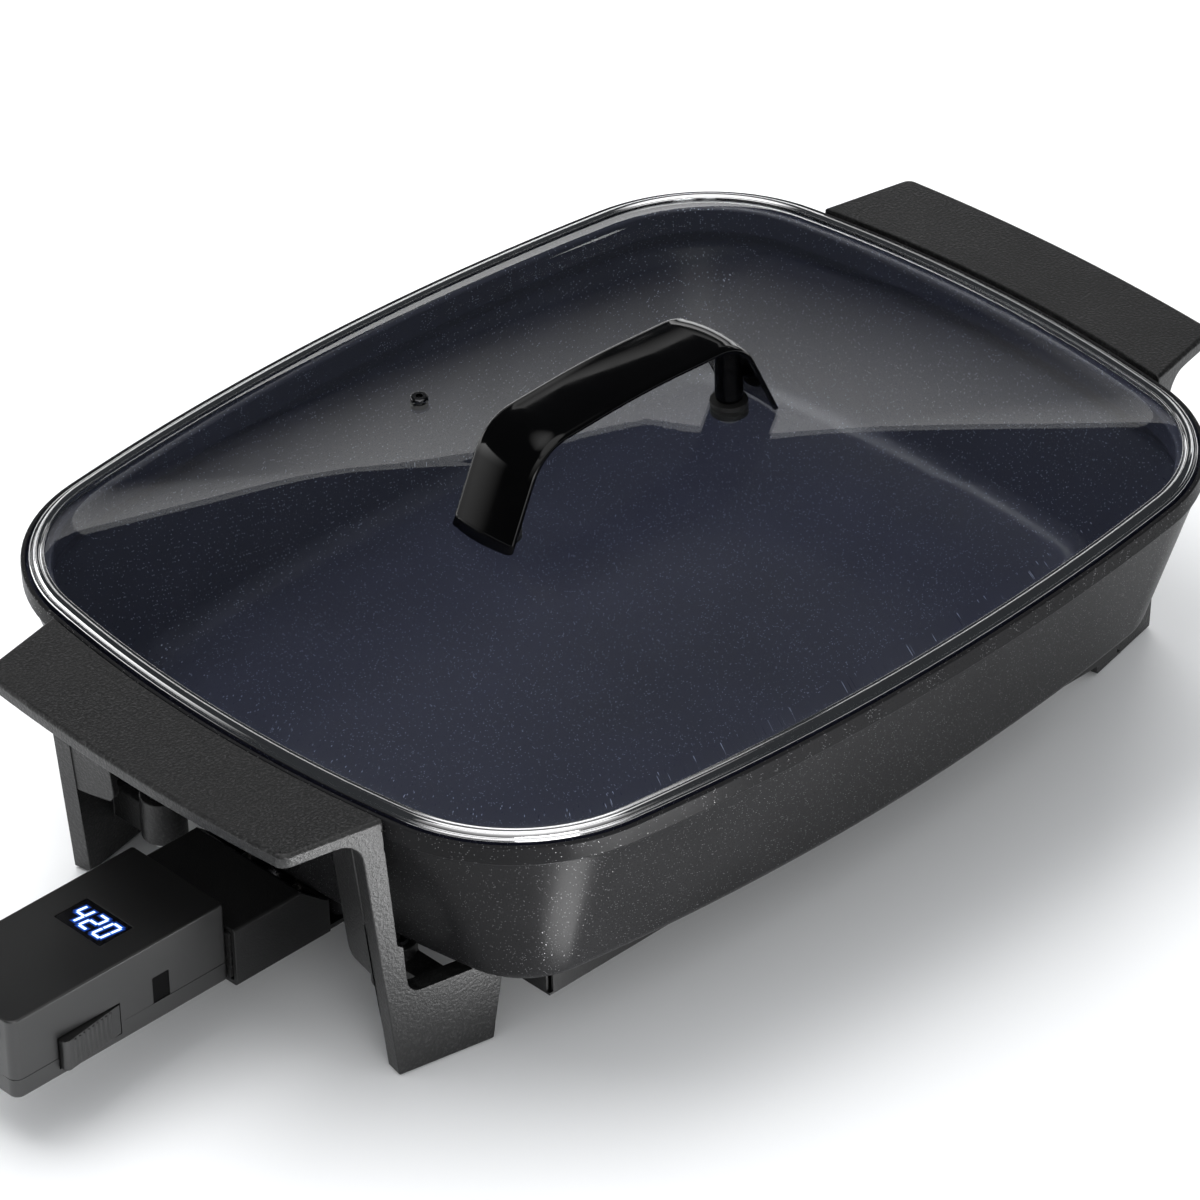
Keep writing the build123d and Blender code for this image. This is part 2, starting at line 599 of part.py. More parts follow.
with BuildPart() as lid_handle:
    with BuildSketch(Plane.XY.offset(WASHER_TOP)):
        with Locations(*HANDLE_BOSSES):
            Circle(HANDLE_BOSS_RADIUS)
    extrude(amount=THROUGH)
    with BuildSketch(Plane.XZ):
        handle_face(0)
    extrude(amount=HANDLE_WIDTH / 2, both=True, mode=Mode.INTERSECT)
    with BuildSketch(Plane.XZ):
        handle_face(0)
        handle_face(HANDLE_THICKNESS)
    extrude(amount=HANDLE_WIDTH / 2, both=True)
    with BuildSketch(Plane.XY.offset(WASHER_TOP)):
        with Locations(*HANDLE_BOSSES):
            Circle(HANDLE_SCREW_RADIUS + SCREW_CLEARANCE)
    extrude(amount=HANDLE_BORE, mode=Mode.SUBTRACT)
finish(lid_handle, "lid_handle")

with BuildPart() as handle_washers:
    # silicone washers above and below the glass, each shaped to its slope
    with BuildSketch(Plane.XY.offset(UNDER_WASHER_BOTTOM)):
        with Locations(*HANDLE_BOSSES):
            Circle(WASHER_RADIUS)
            Circle(HANDLE_SCREW_RADIUS + SCREW_CLEARANCE, mode=Mode.SUBTRACT)
    extrude(amount=WASHER_TOP - UNDER_WASHER_BOTTOM)
    add(lid_glass.part, mode=Mode.SUBTRACT)
finish(handle_washers, "handle_washers")

with BuildPart() as handle_screws:
    reach = WASHER_TOP - UNDER_WASHER_BOTTOM + HANDLE_BORE - 2
    screw_at(HANDLE_BOSSES, UNDER_WASHER_BOTTOM, HANDLE_HEAD, HANDLE_SCREW_RADIUS, reach)
finish(handle_screws, "handle_screws")

with BuildPart() as steam_vent:
    with BuildSketch(Plane.XY.offset(VENT_BOTTOM)):
        with Locations(VENT):
            Circle(VENT_FLANGE)
            Circle(VENT_BORE, mode=Mode.SUBTRACT)
    extrude(amount=VENT_TOP - VENT_BOTTOM)
    fillet(steam_vent.edges().group_by(Axis.Z)[-1].sort_by(SortBy.LENGTH)[-1], RING_FILLET)
    add(lid_glass.part, mode=Mode.SUBTRACT)
finish(steam_vent, "steam_vent")

# ------------------------------------------------------------------ plug-in controller
POSTS = [(-318.0, 11.0), (-318.0, -11.0), (-236.0, 19.0), (-236.0, -19.0)]
BOARD_POSTS = [(-300.0, 13.0), (-300.0, -13.0), (-247.0, 13.0), (-247.0, -13.0)]
POST_RADIUS = 3.4
SHELL_SCREW_RADIUS = 1.3
SHELL_SCREW_LENGTH = 20.0
SHELL_SEAT = 3.0
BOARD_POST_RADIUS = 2.4
BOARD_BOTTOM = 44.0
BOARD_THICKNESS = 1.6
BOARD_TOP = BOARD_BOTTOM + BOARD_THICKNESS
BOARD_SIZE = (67.0, 34.0)
DISPLAY_BLOCK = (14.0, 22.0)
CHIP_X = -288.0
CHIP_SIDE = 9.0
CAPACITORS = [(-250.0, -4.0), (-250.0, 5.0)]
CAPACITOR_SIZE = (3.0, 7.0)
RELAY_X = -285.0
RELAY_SIZE = (20.0, 16.0, 14.0)
RELAY_CORNER = 1.0
OUTER_CORNERS = (4.0, 1.5)
INNER_CORNERS = (2.0, 0.5)
TOP_ROUND = 0.9
BOTTOM_ROUND = 1.6
SLOT_DEPTH = 8.0
NOSE_GAP = 0.4
NOSE_END_WALL = 3.0
PROBE_NOSE = 2.4
DISPLAY_X = (-276.0, -260.0)
DISPLAY_HALF = 13.0
GAP = 0.2
LEVER_HINGE_X = -281.4
LEVER_HINGE_Y = 22.4
LEVER_FRONT_X = -308.0
LEVER_BACK_X = -279.0
LEVER_Z = (25.8, 39.0)
LEVER_PROUD = 4.0
LEVER_INNER_Y = 22.0
LEVER_PIN_RADIUS = 1.0
KNUCKLE = 2.2
SPRING_LAND = 3.0
SPRING_Z = sum(LEVER_Z) / 2
SPRING_COIL = (1.5, 5.0, 2.0)
SPRING_WIRE = 0.3
RIB_PITCH = 2.35
RIB_COUNT = 9
GRIP_RIB = (1.1, 1.0)
GRIP_START = 5.0
GRIP_MARGIN = 0.6
SIDE_PANE = 1.8
SIDE_PANE_RECESS = 0.4
WINDOW_X = (-263.0, -255.0)
WINDOW_TOP = 42.0
BUTTON_Z = 47.0
BUTTON_PITCH = 13.0
BUTTON_RADIUS = 4.0
BUTTON_GAP = 0.3
BUTTON_PROUD = 1.5
BUTTON_LENGTH = 5.0
BUTTON_ROUND = 0.6
COLLAR = 1.2
GLAND_LIP = 3.0
GLAND_Z = 34.0
GLAND_RADIUS = 5.0
CORD_RADIUS = 3.6


def body_face(inset, front_corner, back_corner):
    """Plan of the controller body, drawn in by an inset, rounder at the front than at the back."""
    front = BODY_FRONT_X + inset
    back = BODY_BACK_X - inset
    half = BODY_HALF_WIDTH - inset
    with BuildLine() as outline:
        FilletPolyline(
            (back, half),
            (front, half),
            (front, -half),
            (back, -half),
            radius=[back_corner, front_corner, front_corner, back_corner],
            close=True,
        )
    make_face(outline.edges())


def side_cutters():
    """Openings in both side walls for the levers and the dark side windows."""
    with BuildPart(mode=Mode.PRIVATE) as cutters:
        with BuildSketch(Plane.XY.offset(LEVER_Z[0] - 2 * GAP)) as lever_slots:
            for side in (-1, 1):
                with Locations(((LEVER_FRONT_X + LEVER_BACK_X) / 2, side * BODY_HALF_WIDTH)):
                    Rectangle(LEVER_BACK_X - LEVER_FRONT_X + 4 * GAP, SLOT_DEPTH)
        extrude(lever_slots.sketch, amount=LEVER_Z[1] - LEVER_Z[0] + 4 * GAP)
        with BuildSketch(Plane.XY.offset(BODY_PARTING)) as window_slots:
            for side in (-1, 1):
                with Locations((sum(WINDOW_X) / 2, side * BODY_HALF_WIDTH)):
                    Rectangle(WINDOW_X[1] - WINDOW_X[0], SLOT_DEPTH)
        extrude(window_slots.sketch, amount=WINDOW_TOP - BODY_PARTING)
        # probe hole in the back wall and cord hole in the front wall
        with BuildSketch(Plane.YZ.offset(BODY_BACK_X - BODY_WALL - PAST)) as probe_hole:
            with Locations((0, PROBE_Z)):
                Circle(PROBE_RADIUS + SLIP)
        extrude(probe_hole.sketch, amount=BODY_WALL + 2 * PAST)
        with BuildSketch(Plane.YZ.offset(BODY_FRONT_X - PAST)) as gland_hole:
            with Locations((0, GLAND_Z)):
                Circle(GLAND_RADIUS)
        extrude(gland_hole.sketch, amount=BODY_WALL + 2 * PAST)
    return cutters.part


body_openings = side_cutters()

with BuildPart() as controller_top_shell:
    with BuildSketch(Plane.XY.offset(BODY_PARTING)):
        body_face(0, *OUTER_CORNERS)
    extrude(amount=BODY_TOP - BODY_PARTING)
    fillet(controller_top_shell.faces().sort_by(Axis.Z)[-1].edges(), TOP_ROUND)
    with BuildSketch(Plane.XY.offset(BODY_PARTING)):
        body_face(BODY_WALL, *INNER_CORNERS)
    extrude(amount=BODY_TOP - BODY_WALL - BODY_PARTING, mode=Mode.SUBTRACT)
    with BuildSketch(Plane.XY.offset(BODY_PARTING)):
        with Locations(*POSTS):
            Circle(POST_RADIUS)
    extrude(amount=BODY_TOP - BODY_WALL - BODY_PARTING)
    with BuildSketch(Plane.XY.offset(BOARD_TOP)):
        with Locations(*BOARD_POSTS):
            Circle(BOARD_POST_RADIUS)
    extrude(amount=BODY_TOP - BODY_WALL - BOARD_TOP)
    screw_depth = BODY_BOTTOM + SHELL_SEAT + SHELL_SCREW_LENGTH + PAST - BODY_PARTING
    with BuildSketch(Plane.XY.offset(BODY_PARTING)):
        with Locations(*POSTS):
            Circle(SHELL_SCREW_RADIUS + SCREW_CLEARANCE)
    extrude(amount=screw_depth, mode=Mode.SUBTRACT)
    # display opening
    with BuildSketch(Plane.XY.offset(BODY_TOP - BODY_WALL)):
        with Locations((sum(DISPLAY_X) / 2, 0)):
            Rectangle(DISPLAY_X[1] - DISPLAY_X[0], 2 * DISPLAY_HALF)
    extrude(amount=BODY_WALL + PAST, mode=Mode.SUBTRACT)
    # button holes in the front wall
    with BuildSketch(Plane.YZ.offset(BODY_FRONT_X - PAST)):
        with Locations((0, BUTTON_Z)):
            with GridLocations(BUTTON_PITCH, 0, 3, 1):
                Circle(BUTTON_RADIUS + BUTTON_GAP)
    extrude(amount=BODY_WALL + 2 * PAST, mode=Mode.SUBTRACT)
    add(body_openings, mode=Mode.SUBTRACT)
finish(controller_top_shell, "controller_top_shell")

with BuildPart() as controller_bottom_shell:
    with BuildSketch(Plane.XY.offset(BODY_BOTTOM)):
        body_face(0, *OUTER_CORNERS)
    extrude(amount=BODY_PARTING - BODY_BOTTOM)
    fillet(controller_bottom_shell.faces().sort_by(Axis.Z)[0].edges(), BOTTOM_ROUND)
    with BuildSketch(Plane.XY.offset(BODY_BOTTOM + BODY_WALL)):
        body_face(BODY_WALL, *INNER_CORNERS)
    extrude(amount=BODY_PARTING, mode=Mode.SUBTRACT)
    with BuildSketch(Plane.XY.offset(BODY_BOTTOM)):
        with Locations(*POSTS):
            Circle(POST_RADIUS)
    extrude(amount=BODY_PARTING - BODY_BOTTOM)
    with BuildSketch(Plane.XY.offset(BODY_BOTTOM)):
        with Locations(*POSTS):
            Circle(SHELL_HEAD[0] + SLIP)
    extrude(amount=SHELL_SEAT, mode=Mode.SUBTRACT)
    with BuildSketch(Plane.XY.offset(BODY_BOTTOM)):
        with Locations(*POSTS):
            Circle(SHELL_SCREW_RADIUS + SCREW_CLEARANCE)
    extrude(amount=THROUGH, mode=Mode.SUBTRACT)
    add(body_openings, mode=Mode.SUBTRACT)
finish(controller_bottom_shell, "controller_bottom_shell")

with BuildPart() as shell_screws:
    screw_at(POSTS, BODY_BOTTOM + SHELL_SEAT, SHELL_HEAD, SHELL_SCREW_RADIUS, SHELL_SCREW_LENGTH)
finish(shell_screws, "shell_screws")

with BuildPart() as controller_nose:
    # heat-resistant block that slides into the guard and carries the sockets
    nose_bottom = GUARD_BOTTOM + GUARD_WALL + NOSE_GAP
    nose_top = GUARD_TOP - GUARD_WALL - NOSE_GAP
    nose_half = GUARD_HALF_WIDTH - GUARD_WALL - NOSE_GAP
    with BuildSketch(Plane.YZ.offset(BODY_BACK_X)):
        with Locations((0, (nose_bottom + nose_top) / 2)):
            RectangleRounded(2 * nose_half, nose_top - nose_bottom, BODY_WALL)
    extrude(amount=NOSE_TIP_X - BODY_BACK_X)
    with BuildSketch(Plane.YZ.offset(BODY_BACK_X)):
        with Locations((PIN_Y, ELEMENT_Z), (-PIN_Y, ELEMENT_Z)):
            Circle(SOCKET_RADIUS)
    extrude(amount=NOSE_TIP_X - BODY_BACK_X - NOSE_END_WALL, mode=Mode.SUBTRACT)
    with BuildSketch(Plane.YZ.offset(BODY_BACK_X)):
        with Locations((PIN_Y, ELEMENT_Z), (-PIN_Y, ELEMENT_Z)):
            Circle(PIN_RADIUS + 4 * SLIP)
        with Locations((0, PROBE_Z)):
            Circle(PROBE_RADIUS + SLIP)
    extrude(amount=THROUGH, mode=Mode.SUBTRACT)
finish(controller_nose, "controller_nose")

with BuildPart() as terminal_sockets:
    with BuildSketch(Plane.YZ.offset(BODY_BACK_X + PAST)):
        with Locations((PIN_Y, ELEMENT_Z), (-PIN_Y, ELEMENT_Z)):
            Circle(SOCKET_RADIUS - PRESS)
    extrude(amount=NOSE_TIP_X - BODY_BACK_X - NOSE_END_WALL - PAST - SLIP)
    with BuildSketch(Plane.YZ.offset(PIN_TIP_X - 2 * PAST)):
        with Locations((PIN_Y, ELEMENT_Z), (-PIN_Y, ELEMENT_Z)):
            Circle(PIN_RADIUS + SLIP)
    extrude(amount=THROUGH, mode=Mode.SUBTRACT)
finish(terminal_sockets, "terminal_sockets")

with BuildPart() as probe_rod:
    with BuildSketch(Plane.YZ.offset(ROD_BACK_X)):
        with Locations((0, PROBE_Z)):
            Circle(PROBE_RADIUS)
    extrude(amount=ROD_TIP_X - ROD_BACK_X)
    fillet(probe_rod.edges().group_by(Axis.X)[-1], PROBE_NOSE)
finish(probe_rod, "probe_rod")

with BuildPart() as circuit_board:
    board_x = (BOARD_POSTS[0][0] + BOARD_POSTS[2][0]) / 2
    with BuildSketch(Plane.XY.offset(BOARD_BOTTOM)):
        with Locations((board_x, 0)):
            Rectangle(*BOARD_SIZE)
    extrude(amount=BOARD_THICKNESS)
    # display block under the window
    with BuildSketch(Plane.XY.offset(BOARD_TOP)):
        with Locations((sum(DISPLAY_X) / 2, 0)):
            Rectangle(*DISPLAY_BLOCK)
    extrude(amount=BODY_TOP - BODY_WALL - BOARD_TOP)
    # controller chip, then two capacitors
    with BuildSketch(Plane.XY.offset(BOARD_TOP)):
        with Locations((CHIP_X, 0)):
            Rectangle(CHIP_SIDE, CHIP_SIDE)
    extrude(amount=BOARD_THICKNESS)
    with BuildSketch(Plane.XY.offset(BOARD_TOP)):
        with Locations(*CAPACITORS):
            Circle(CAPACITOR_SIZE[0])
    extrude(amount=CAPACITOR_SIZE[1])
finish(circuit_board, "circuit_board")

with BuildPart() as relay:
    relay_length, relay_width, relay_height = RELAY_SIZE
    with BuildSketch(Plane.XY.offset(BOARD_BOTTOM - relay_height)):
        with Locations((RELAY_X, 0)):
            Rectangle(relay_length, relay_width)
    extrude(amount=relay_height)
    fillet(relay.edges().filter_by(Axis.Z), RELAY_CORNER)
finish(relay, "relay")

with BuildPart() as display_window:
    with BuildSketch(Plane.XY.offset(BODY_TOP - BODY_WALL)):
        with Locations((sum(DISPLAY_X) / 2, 0)):
            Rectangle(DISPLAY_X[1] - DISPLAY_X[0] - SLIP, 2 * DISPLAY_HALF - SLIP)
    extrude(amount=BODY_WALL - WINDOW_RECESS)
finish(display_window, "display_window")

SEGMENTS_LIT = {"4": "bcfg", "2": "abdeg", "0": "abcdef"}
DIGIT_HEIGHT = 10.5
DIGIT_WIDTH = 5.3
DIGIT_PITCH = 7.4
DIGIT_LEAN = 8.0
STROKE = 1.0
DIGIT_THICKNESS = 0.1


def segment_box(letter):
    """Centre and size of one bar of a seven-bar digit, reading upright."""
    high = (DIGIT_HEIGHT - STROKE) / 2
    wide = (DIGIT_WIDTH - STROKE) / 2
    across = (DIGIT_WIDTH - 1.6 * STROKE, STROKE)
    down = (STROKE, high - 0.6 * STROKE)
    return {
        "a": ((0, high), across),
        "b": ((wide, high / 2), down),
        "c": ((wide, -high / 2), down),
        "d": ((0, -high), across),
        "e": ((-wide, -high / 2), down),
        "f": ((-wide, high / 2), down),
        "g": ((0, 0), across),
    }[letter]


with BuildPart() as display_digits:
    # read from the controller's front end, so each digit's top points to +X
    lean = math.tan(math.radians(DIGIT_LEAN))
    readout = Plane(
        origin=(sum(DISPLAY_X) / 2, 0, BODY_TOP - WINDOW_RECESS),
        x_dir=(0, -1, 0),
        z_dir=(0, 0, 1),
    )
    with BuildSketch(readout):
        for place, digit in enumerate("420"):
            for letter in SEGMENTS_LIT[digit]:
                (x, y), (wide, high) = segment_box(letter)
                left, right = x - wide / 2, x + wide / 2
                low, top = y - high / 2, y + high / 2
                corners = [(left, low), (right, low), (right, top), (left, top)]
                shift = (place - 1) * DIGIT_PITCH
                Polygon(*[(px + lean * py + shift, py) for px, py in corners], align=None)
    extrude(amount=DIGIT_THICKNESS)
finish(display_digits, "display_digits")

with BuildPart() as side_windows:
    for side in (-1, 1):
        pane_y = side * (BODY_HALF_WIDTH - SIDE_PANE_RECESS - SIDE_PANE / 2)
        with BuildSketch(Plane.XY.offset(BODY_PARTING)):
            with Locations((sum(WINDOW_X) / 2, pane_y)):
                Rectangle(WINDOW_X[1] - WINDOW_X[0] - SLIP, SIDE_PANE)
        extrude(amount=WINDOW_TOP - BODY_PARTING - SLIP)
finish(side_windows, "side_windows")

for side, name in ((-1, "near"), (1, "far")):
    hinge = (LEVER_HINGE_X, side * LEVER_HINGE_Y)
    outer_back = side * (BODY_HALF_WIDTH + SLIP)
    outer_front = side * (BODY_HALF_WIDTH + LEVER_PROUD)
    with BuildPart() as release_lever:
        with BuildSketch(Plane.XY.offset(LEVER_Z[0])) as lever_plan:
            with BuildLine():
                Polyline(
                    (LEVER_BACK_X, outer_back),
                    (LEVER_FRONT_X, outer_front),
                    (LEVER_FRONT_X, side * LEVER_INNER_Y),
                    (LEVER_FRONT_X + SPRING_LAND, side * LEVER_INNER_Y),
                    (LEVER_FRONT_X + SPRING_LAND, side * (LEVER_INNER_Y + KNUCKLE)),
                    (LEVER_HINGE_X - 2 * KNUCKLE, side * LEVER_HINGE_Y),
                    (LEVER_HINGE_X - KNUCKLE, side * (LEVER_HINGE_Y - KNUCKLE)),
                    (LEVER_BACK_X, side * (LEVER_HINGE_Y - KNUCKLE)),
                    close=True,
                )
            make_face()
            tip = (LEVER_FRONT_X, outer_front)
            fillet(lever_plan.vertices().sort_by_distance(tip)[0], KNUCKLE)
        extrude(amount=LEVER_Z[1] - LEVER_Z[0])
        # upright ribs that the finger and thumb grip
        slope = (outer_back - outer_front) / (LEVER_BACK_X - LEVER_FRONT_X)
        with BuildSketch(Plane.XY.offset(LEVER_Z[0] + GRIP_MARGIN)):
            for i in range(RIB_COUNT):
                along = GRIP_START + i * RIB_PITCH
                place = (LEVER_FRONT_X + along, outer_front + slope * along)
                with Locations(Location(place, math.degrees(math.atan(slope)))):
                    Rectangle(*GRIP_RIB)
        extrude(amount=LEVER_Z[1] - LEVER_Z[0] - 2 * GRIP_MARGIN)
        with BuildSketch(Plane.XY.offset(LEVER_Z[0])):
            with Locations(hinge):
                Circle(LEVER_PIN_RADIUS + PRESS)
        extrude(amount=THROUGH, mode=Mode.SUBTRACT)
    finish(release_lever, f"release_lever_{name}")

with BuildPart() as lever_pins:
    with BuildSketch(Plane.XY.offset(BODY_BOTTOM + BODY_WALL)):
        for side in (-1, 1):
            with Locations((LEVER_HINGE_X, side * LEVER_HINGE_Y)):
                Circle(LEVER_PIN_RADIUS)
    extrude(amount=LEVER_Z[1] - BODY_BOTTOM - BODY_WALL + 2 * GAP)
finish(lever_pins, "lever_pins")

for side, name in ((-1, "near"), (1, "far")):
    spring_start = (LEVER_FRONT_X + SPRING_LAND / 2, side * (LEVER_INNER_Y - 4 * SLIP), SPRING_Z)
    with BuildPart() as lever_spring:
        with BuildLine() as coil:
            Helix(*SPRING_COIL, center=spring_start, direction=(0, -side, 0))
        with BuildSketch(Plane(coil.line @ 0, z_dir=coil.line % 0)):
            Circle(SPRING_WIRE)
        sweep(path=coil.line, is_frenet=True)
    finish(lever_spring, f"lever_spring_{name}")

for place, name in ((-1, "minus_button"), (0, "power_button"), (1, "plus_button")):
    with BuildPart() as button:
        with BuildSketch(Plane.YZ.offset(BODY_FRONT_X - BUTTON_PROUD)):
            with Locations((-place * BUTTON_PITCH, BUTTON_Z)):
                Circle(BUTTON_RADIUS)
        extrude(amount=BUTTON_LENGTH)
        fillet(button.edges().group_by(Axis.X)[0], BUTTON_ROUND)
        # collar that stops it inside the wall
        with BuildSketch(Plane.YZ.offset(BODY_FRONT_X + BODY_WALL + PRESS)):
            with Locations((-place * BUTTON_PITCH, BUTTON_Z)):
                Circle(BUTTON_RADIUS + COLLAR)
        extrude(amount=COLLAR)
    finish(button, name)

with BuildPart() as cord_gland:
    with BuildSketch(Plane.YZ.offset(BODY_FRONT_X - GLAND_LIP)):
        with Locations((0, GLAND_Z)):
            Circle(GLAND_RADIUS - PRESS)
    extrude(amount=BODY_WALL + GLAND_LIP)
    with BuildSketch(Plane.YZ.offset(BODY_FRONT_X - GLAND_LIP)):
        with Locations((0, GLAND_Z)):
            Circle(GLAND_RADIUS + COLLAR)
    extrude(amount=GLAND_LIP)
    with BuildSketch(Plane.YZ.offset(BODY_FRONT_X + BODY_WALL)):
        with Locations((0, GLAND_Z)):
            Circle(GLAND_RADIUS + COLLAR)
    extrude(amount=COLLAR)
    with BuildSketch(Plane.YZ.offset(BODY_FRONT_X - GLAND_LIP)):
        with Locations((0, GLAND_Z)):
            Circle(CORD_RADIUS)
    extrude(amount=THROUGH, mode=Mode.SUBTRACT)
finish(cord_gland, "cord_gland")
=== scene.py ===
import json
import math

import bmesh
import bpy
from mathutils import Matrix, Vector


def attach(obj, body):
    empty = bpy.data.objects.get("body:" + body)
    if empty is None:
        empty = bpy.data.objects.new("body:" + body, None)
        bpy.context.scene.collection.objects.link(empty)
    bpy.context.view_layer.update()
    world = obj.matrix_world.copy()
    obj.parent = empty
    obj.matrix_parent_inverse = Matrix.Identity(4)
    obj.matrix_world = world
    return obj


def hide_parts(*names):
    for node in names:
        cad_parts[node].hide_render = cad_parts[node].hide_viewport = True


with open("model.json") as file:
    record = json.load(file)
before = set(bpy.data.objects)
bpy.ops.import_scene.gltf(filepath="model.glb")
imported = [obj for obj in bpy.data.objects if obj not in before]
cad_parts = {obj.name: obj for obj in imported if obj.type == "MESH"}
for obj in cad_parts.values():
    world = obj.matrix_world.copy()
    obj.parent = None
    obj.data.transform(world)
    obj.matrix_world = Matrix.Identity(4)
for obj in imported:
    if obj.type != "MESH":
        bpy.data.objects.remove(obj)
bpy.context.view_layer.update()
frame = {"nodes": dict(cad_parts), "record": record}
nodes = frame["nodes"]
MM = 0.001
FACE_WEIGHT = 90


# ------------------------------------------------------------------ camera
CAMERA_AZIMUTH = -42.9
CAMERA_ELEVATION = 34.31
CAMERA_ROLL = -1.55
CAMERA_DISTANCE = 2.723
CAMERA_TARGET = Vector((0.01117, 0.03116, 0.050))
CAMERA_LENS = 208.8
CAMERA_SHIFT = (0.0112, -0.0032)


def add_camera():
    """Long lens from the front left, above the controller's corner."""
    a = math.radians(CAMERA_AZIMUTH)
    e = math.radians(CAMERA_ELEVATION)
    back = Vector((math.sin(a) * math.cos(e), -math.cos(a) * math.cos(e), math.sin(e)))
    data = bpy.data.cameras.new("photo_camera")
    data.lens = CAMERA_LENS
    data.sensor_width = 36
    data.shift_x, data.shift_y = CAMERA_SHIFT
    data.clip_start, data.clip_end = 0.05, 60
    camera = bpy.data.objects.new("photo_camera", data)
    bpy.context.scene.collection.objects.link(camera)
    turn = (-back).to_track_quat("-Z", "Y").to_matrix().to_4x4()
    roll = Matrix.Rotation(math.radians(CAMERA_ROLL), 4, "Z")
    camera.matrix_world = Matrix.Translation(CAMERA_TARGET + back * CAMERA_DISTANCE) @ turn @ roll
    bpy.context.scene.camera = camera


add_camera()


# ------------------------------------------------------------------ node helpers
def new_material(name):
    """An empty node material with its output, and two short ways to add and join nodes."""
    mat = bpy.data.materials.new(name)
    mat.use_nodes = True
    tree = mat.node_tree
    tree.nodes.clear()
    out = tree.nodes.new("ShaderNodeOutputMaterial")

    def add(kind, **values):
        node = tree.nodes.new(kind)
        for key, value in values.items():
            if hasattr(node, key):
                setattr(node, key, value)
            else:
                node.inputs[key.replace("_", " ")].default_value = value
        return node

    def join(source, target):
        tree.links.new(source, target)

    return mat, out, add, join


def principled(add, colour, rough, metal=0.0, coat=0.0, coat_rough=0.1, specular=0.5):
    """A Principled node with its plain values on its own sockets."""
    node = add("ShaderNodeBsdfPrincipled")
    node.inputs["Base Color"].default_value = (*colour, 1)
    node.inputs["Roughness"].default_value = rough
    node.inputs["Metallic"].default_value = metal
    node.inputs["Coat Weight"].default_value = coat
    node.inputs["Coat Roughness"].default_value = coat_rough
    node.inputs["Specular IOR Level"].default_value = specular
    return node


def object_noise(add, join, scale, detail=3.0, rough=0.5):
    """Noise in the piece's own coordinates; scale is features per metre."""
    place = add("ShaderNodeTexCoord")
    noise = add("ShaderNodeTexNoise")
    noise.inputs["Scale"].default_value = scale
    noise.inputs["Detail"].default_value = detail
    noise.inputs["Roughness"].default_value = rough
    join(place.outputs["Object"], noise.inputs["Vector"])
    return noise.outputs["Fac"]


def object_cells(add, join, scale, feature="F1"):
    """Distance to random cell points in the piece's own coordinates."""
    place = add("ShaderNodeTexCoord")
    cells = add("ShaderNodeTexVoronoi", feature=feature)
    cells.inputs["Scale"].default_value = scale
    join(place.outputs["Object"], cells.inputs["Vector"])
    return cells


def bump_from(add, join, height, strength, distance):
    """A bump node fed by a height; distance in metres."""
    bump = add("ShaderNodeBump")
    bump.inputs["Strength"].default_value = strength
    bump.inputs["Distance"].default_value = distance
    join(height, bump.inputs["Height"])
    return bump.outputs["Normal"]


def ranged(add, join, value, low, high, to_low, to_high):
    """Maps a value's range onto another, clamped."""
    node = add("ShaderNodeMapRange")
    for key, number in (("From Min", low), ("From Max", high), ("To Min", to_low), ("To Max", to_high)):
        node.inputs[key].default_value = number
    join(value, node.inputs["Value"])
    return node.outputs["Result"]


def mix_colour(add, join, share, first, second):
    """Blends two colours, each a tuple or a socket, by a share socket."""
    node = add("ShaderNodeMix", data_type="RGBA")
    join(share, node.inputs[0])
    for socket, value in ((node.inputs[6], first), (node.inputs[7], second)):
        if isinstance(value, tuple):
            socket.default_value = (*value, 1)
        else:
            join(value, socket)
    return node.outputs[2]


# ------------------------------------------------------------------ materials
def speckled_coating(name, base, fleck, cells_per_metre, share, fleck_size, rough, tilt, gloss, ior):
    """Sprayed non-stick coating: dark base, metal flakes that each lie at their own angle, fine orange peel."""
    mat, out, add, join = new_material(name)
    shader = principled(add, base, rough, coat=0.03, coat_rough=0.2, specular=gloss)
    shader.inputs["IOR"].default_value = ior
    cells = object_cells(add, join, cells_per_metre)
    near = ranged(add, join, cells.outputs["Distance"], fleck_size * 0.7, fleck_size * 1.3, 1.0, 0.0)
    pick = ranged(add, join, cells.outputs["Color"], 0.98 - share, 1.0 - share, 0.0, 1.0)
    mask = add("ShaderNodeMath", operation="MULTIPLY")
    join(near, mask.inputs[0])
    join(pick, mask.inputs[1])
    cloud = ranged(add, join, object_noise(add, join, 35, 4), 0.3, 0.7, 0.0, 1.0)
    tone = mix_colour(add, join, cloud, tuple(c * 0.82 for c in base), base)
    join(mix_colour(add, join, mask.outputs[0], tone, fleck), shader.inputs["Base Color"])
    join(mask.outputs[0], shader.inputs["Metallic"])
    peel = object_noise(add, join, 1800, 2)
    join(ranged(add, join, peel, 0.3, 0.7, rough - 0.05, rough + 0.06), shader.inputs["Roughness"])
    smooth = bump_from(add, join, peel, 0.16, 0.00012)
    centred = add("ShaderNodeVectorMath", operation="SUBTRACT")
    centred.inputs[1].default_value = (0.5, 0.5, 0.5)
    join(cells.outputs["Color"], centred.inputs[0])
    amount = ranged(add, join, mask.outputs[0], 0.0, 1.0, 0.0, tilt)
    lean = add("ShaderNodeVectorMath", operation="SCALE")
    join(centred.outputs[0], lean.inputs[0])
    join(amount, lean.inputs["Scale"])
    total = add("ShaderNodeVectorMath", operation="ADD")
    join(smooth, total.inputs[0])
    join(lean.outputs[0], total.inputs[1])
    unit = add("ShaderNodeVectorMath", operation="NORMALIZE")
    join(total.outputs[0], unit.inputs[0])
    join(unit.outputs[0], shader.inputs["Normal"])
    join(shader.outputs[0], out.inputs[0])
    return mat


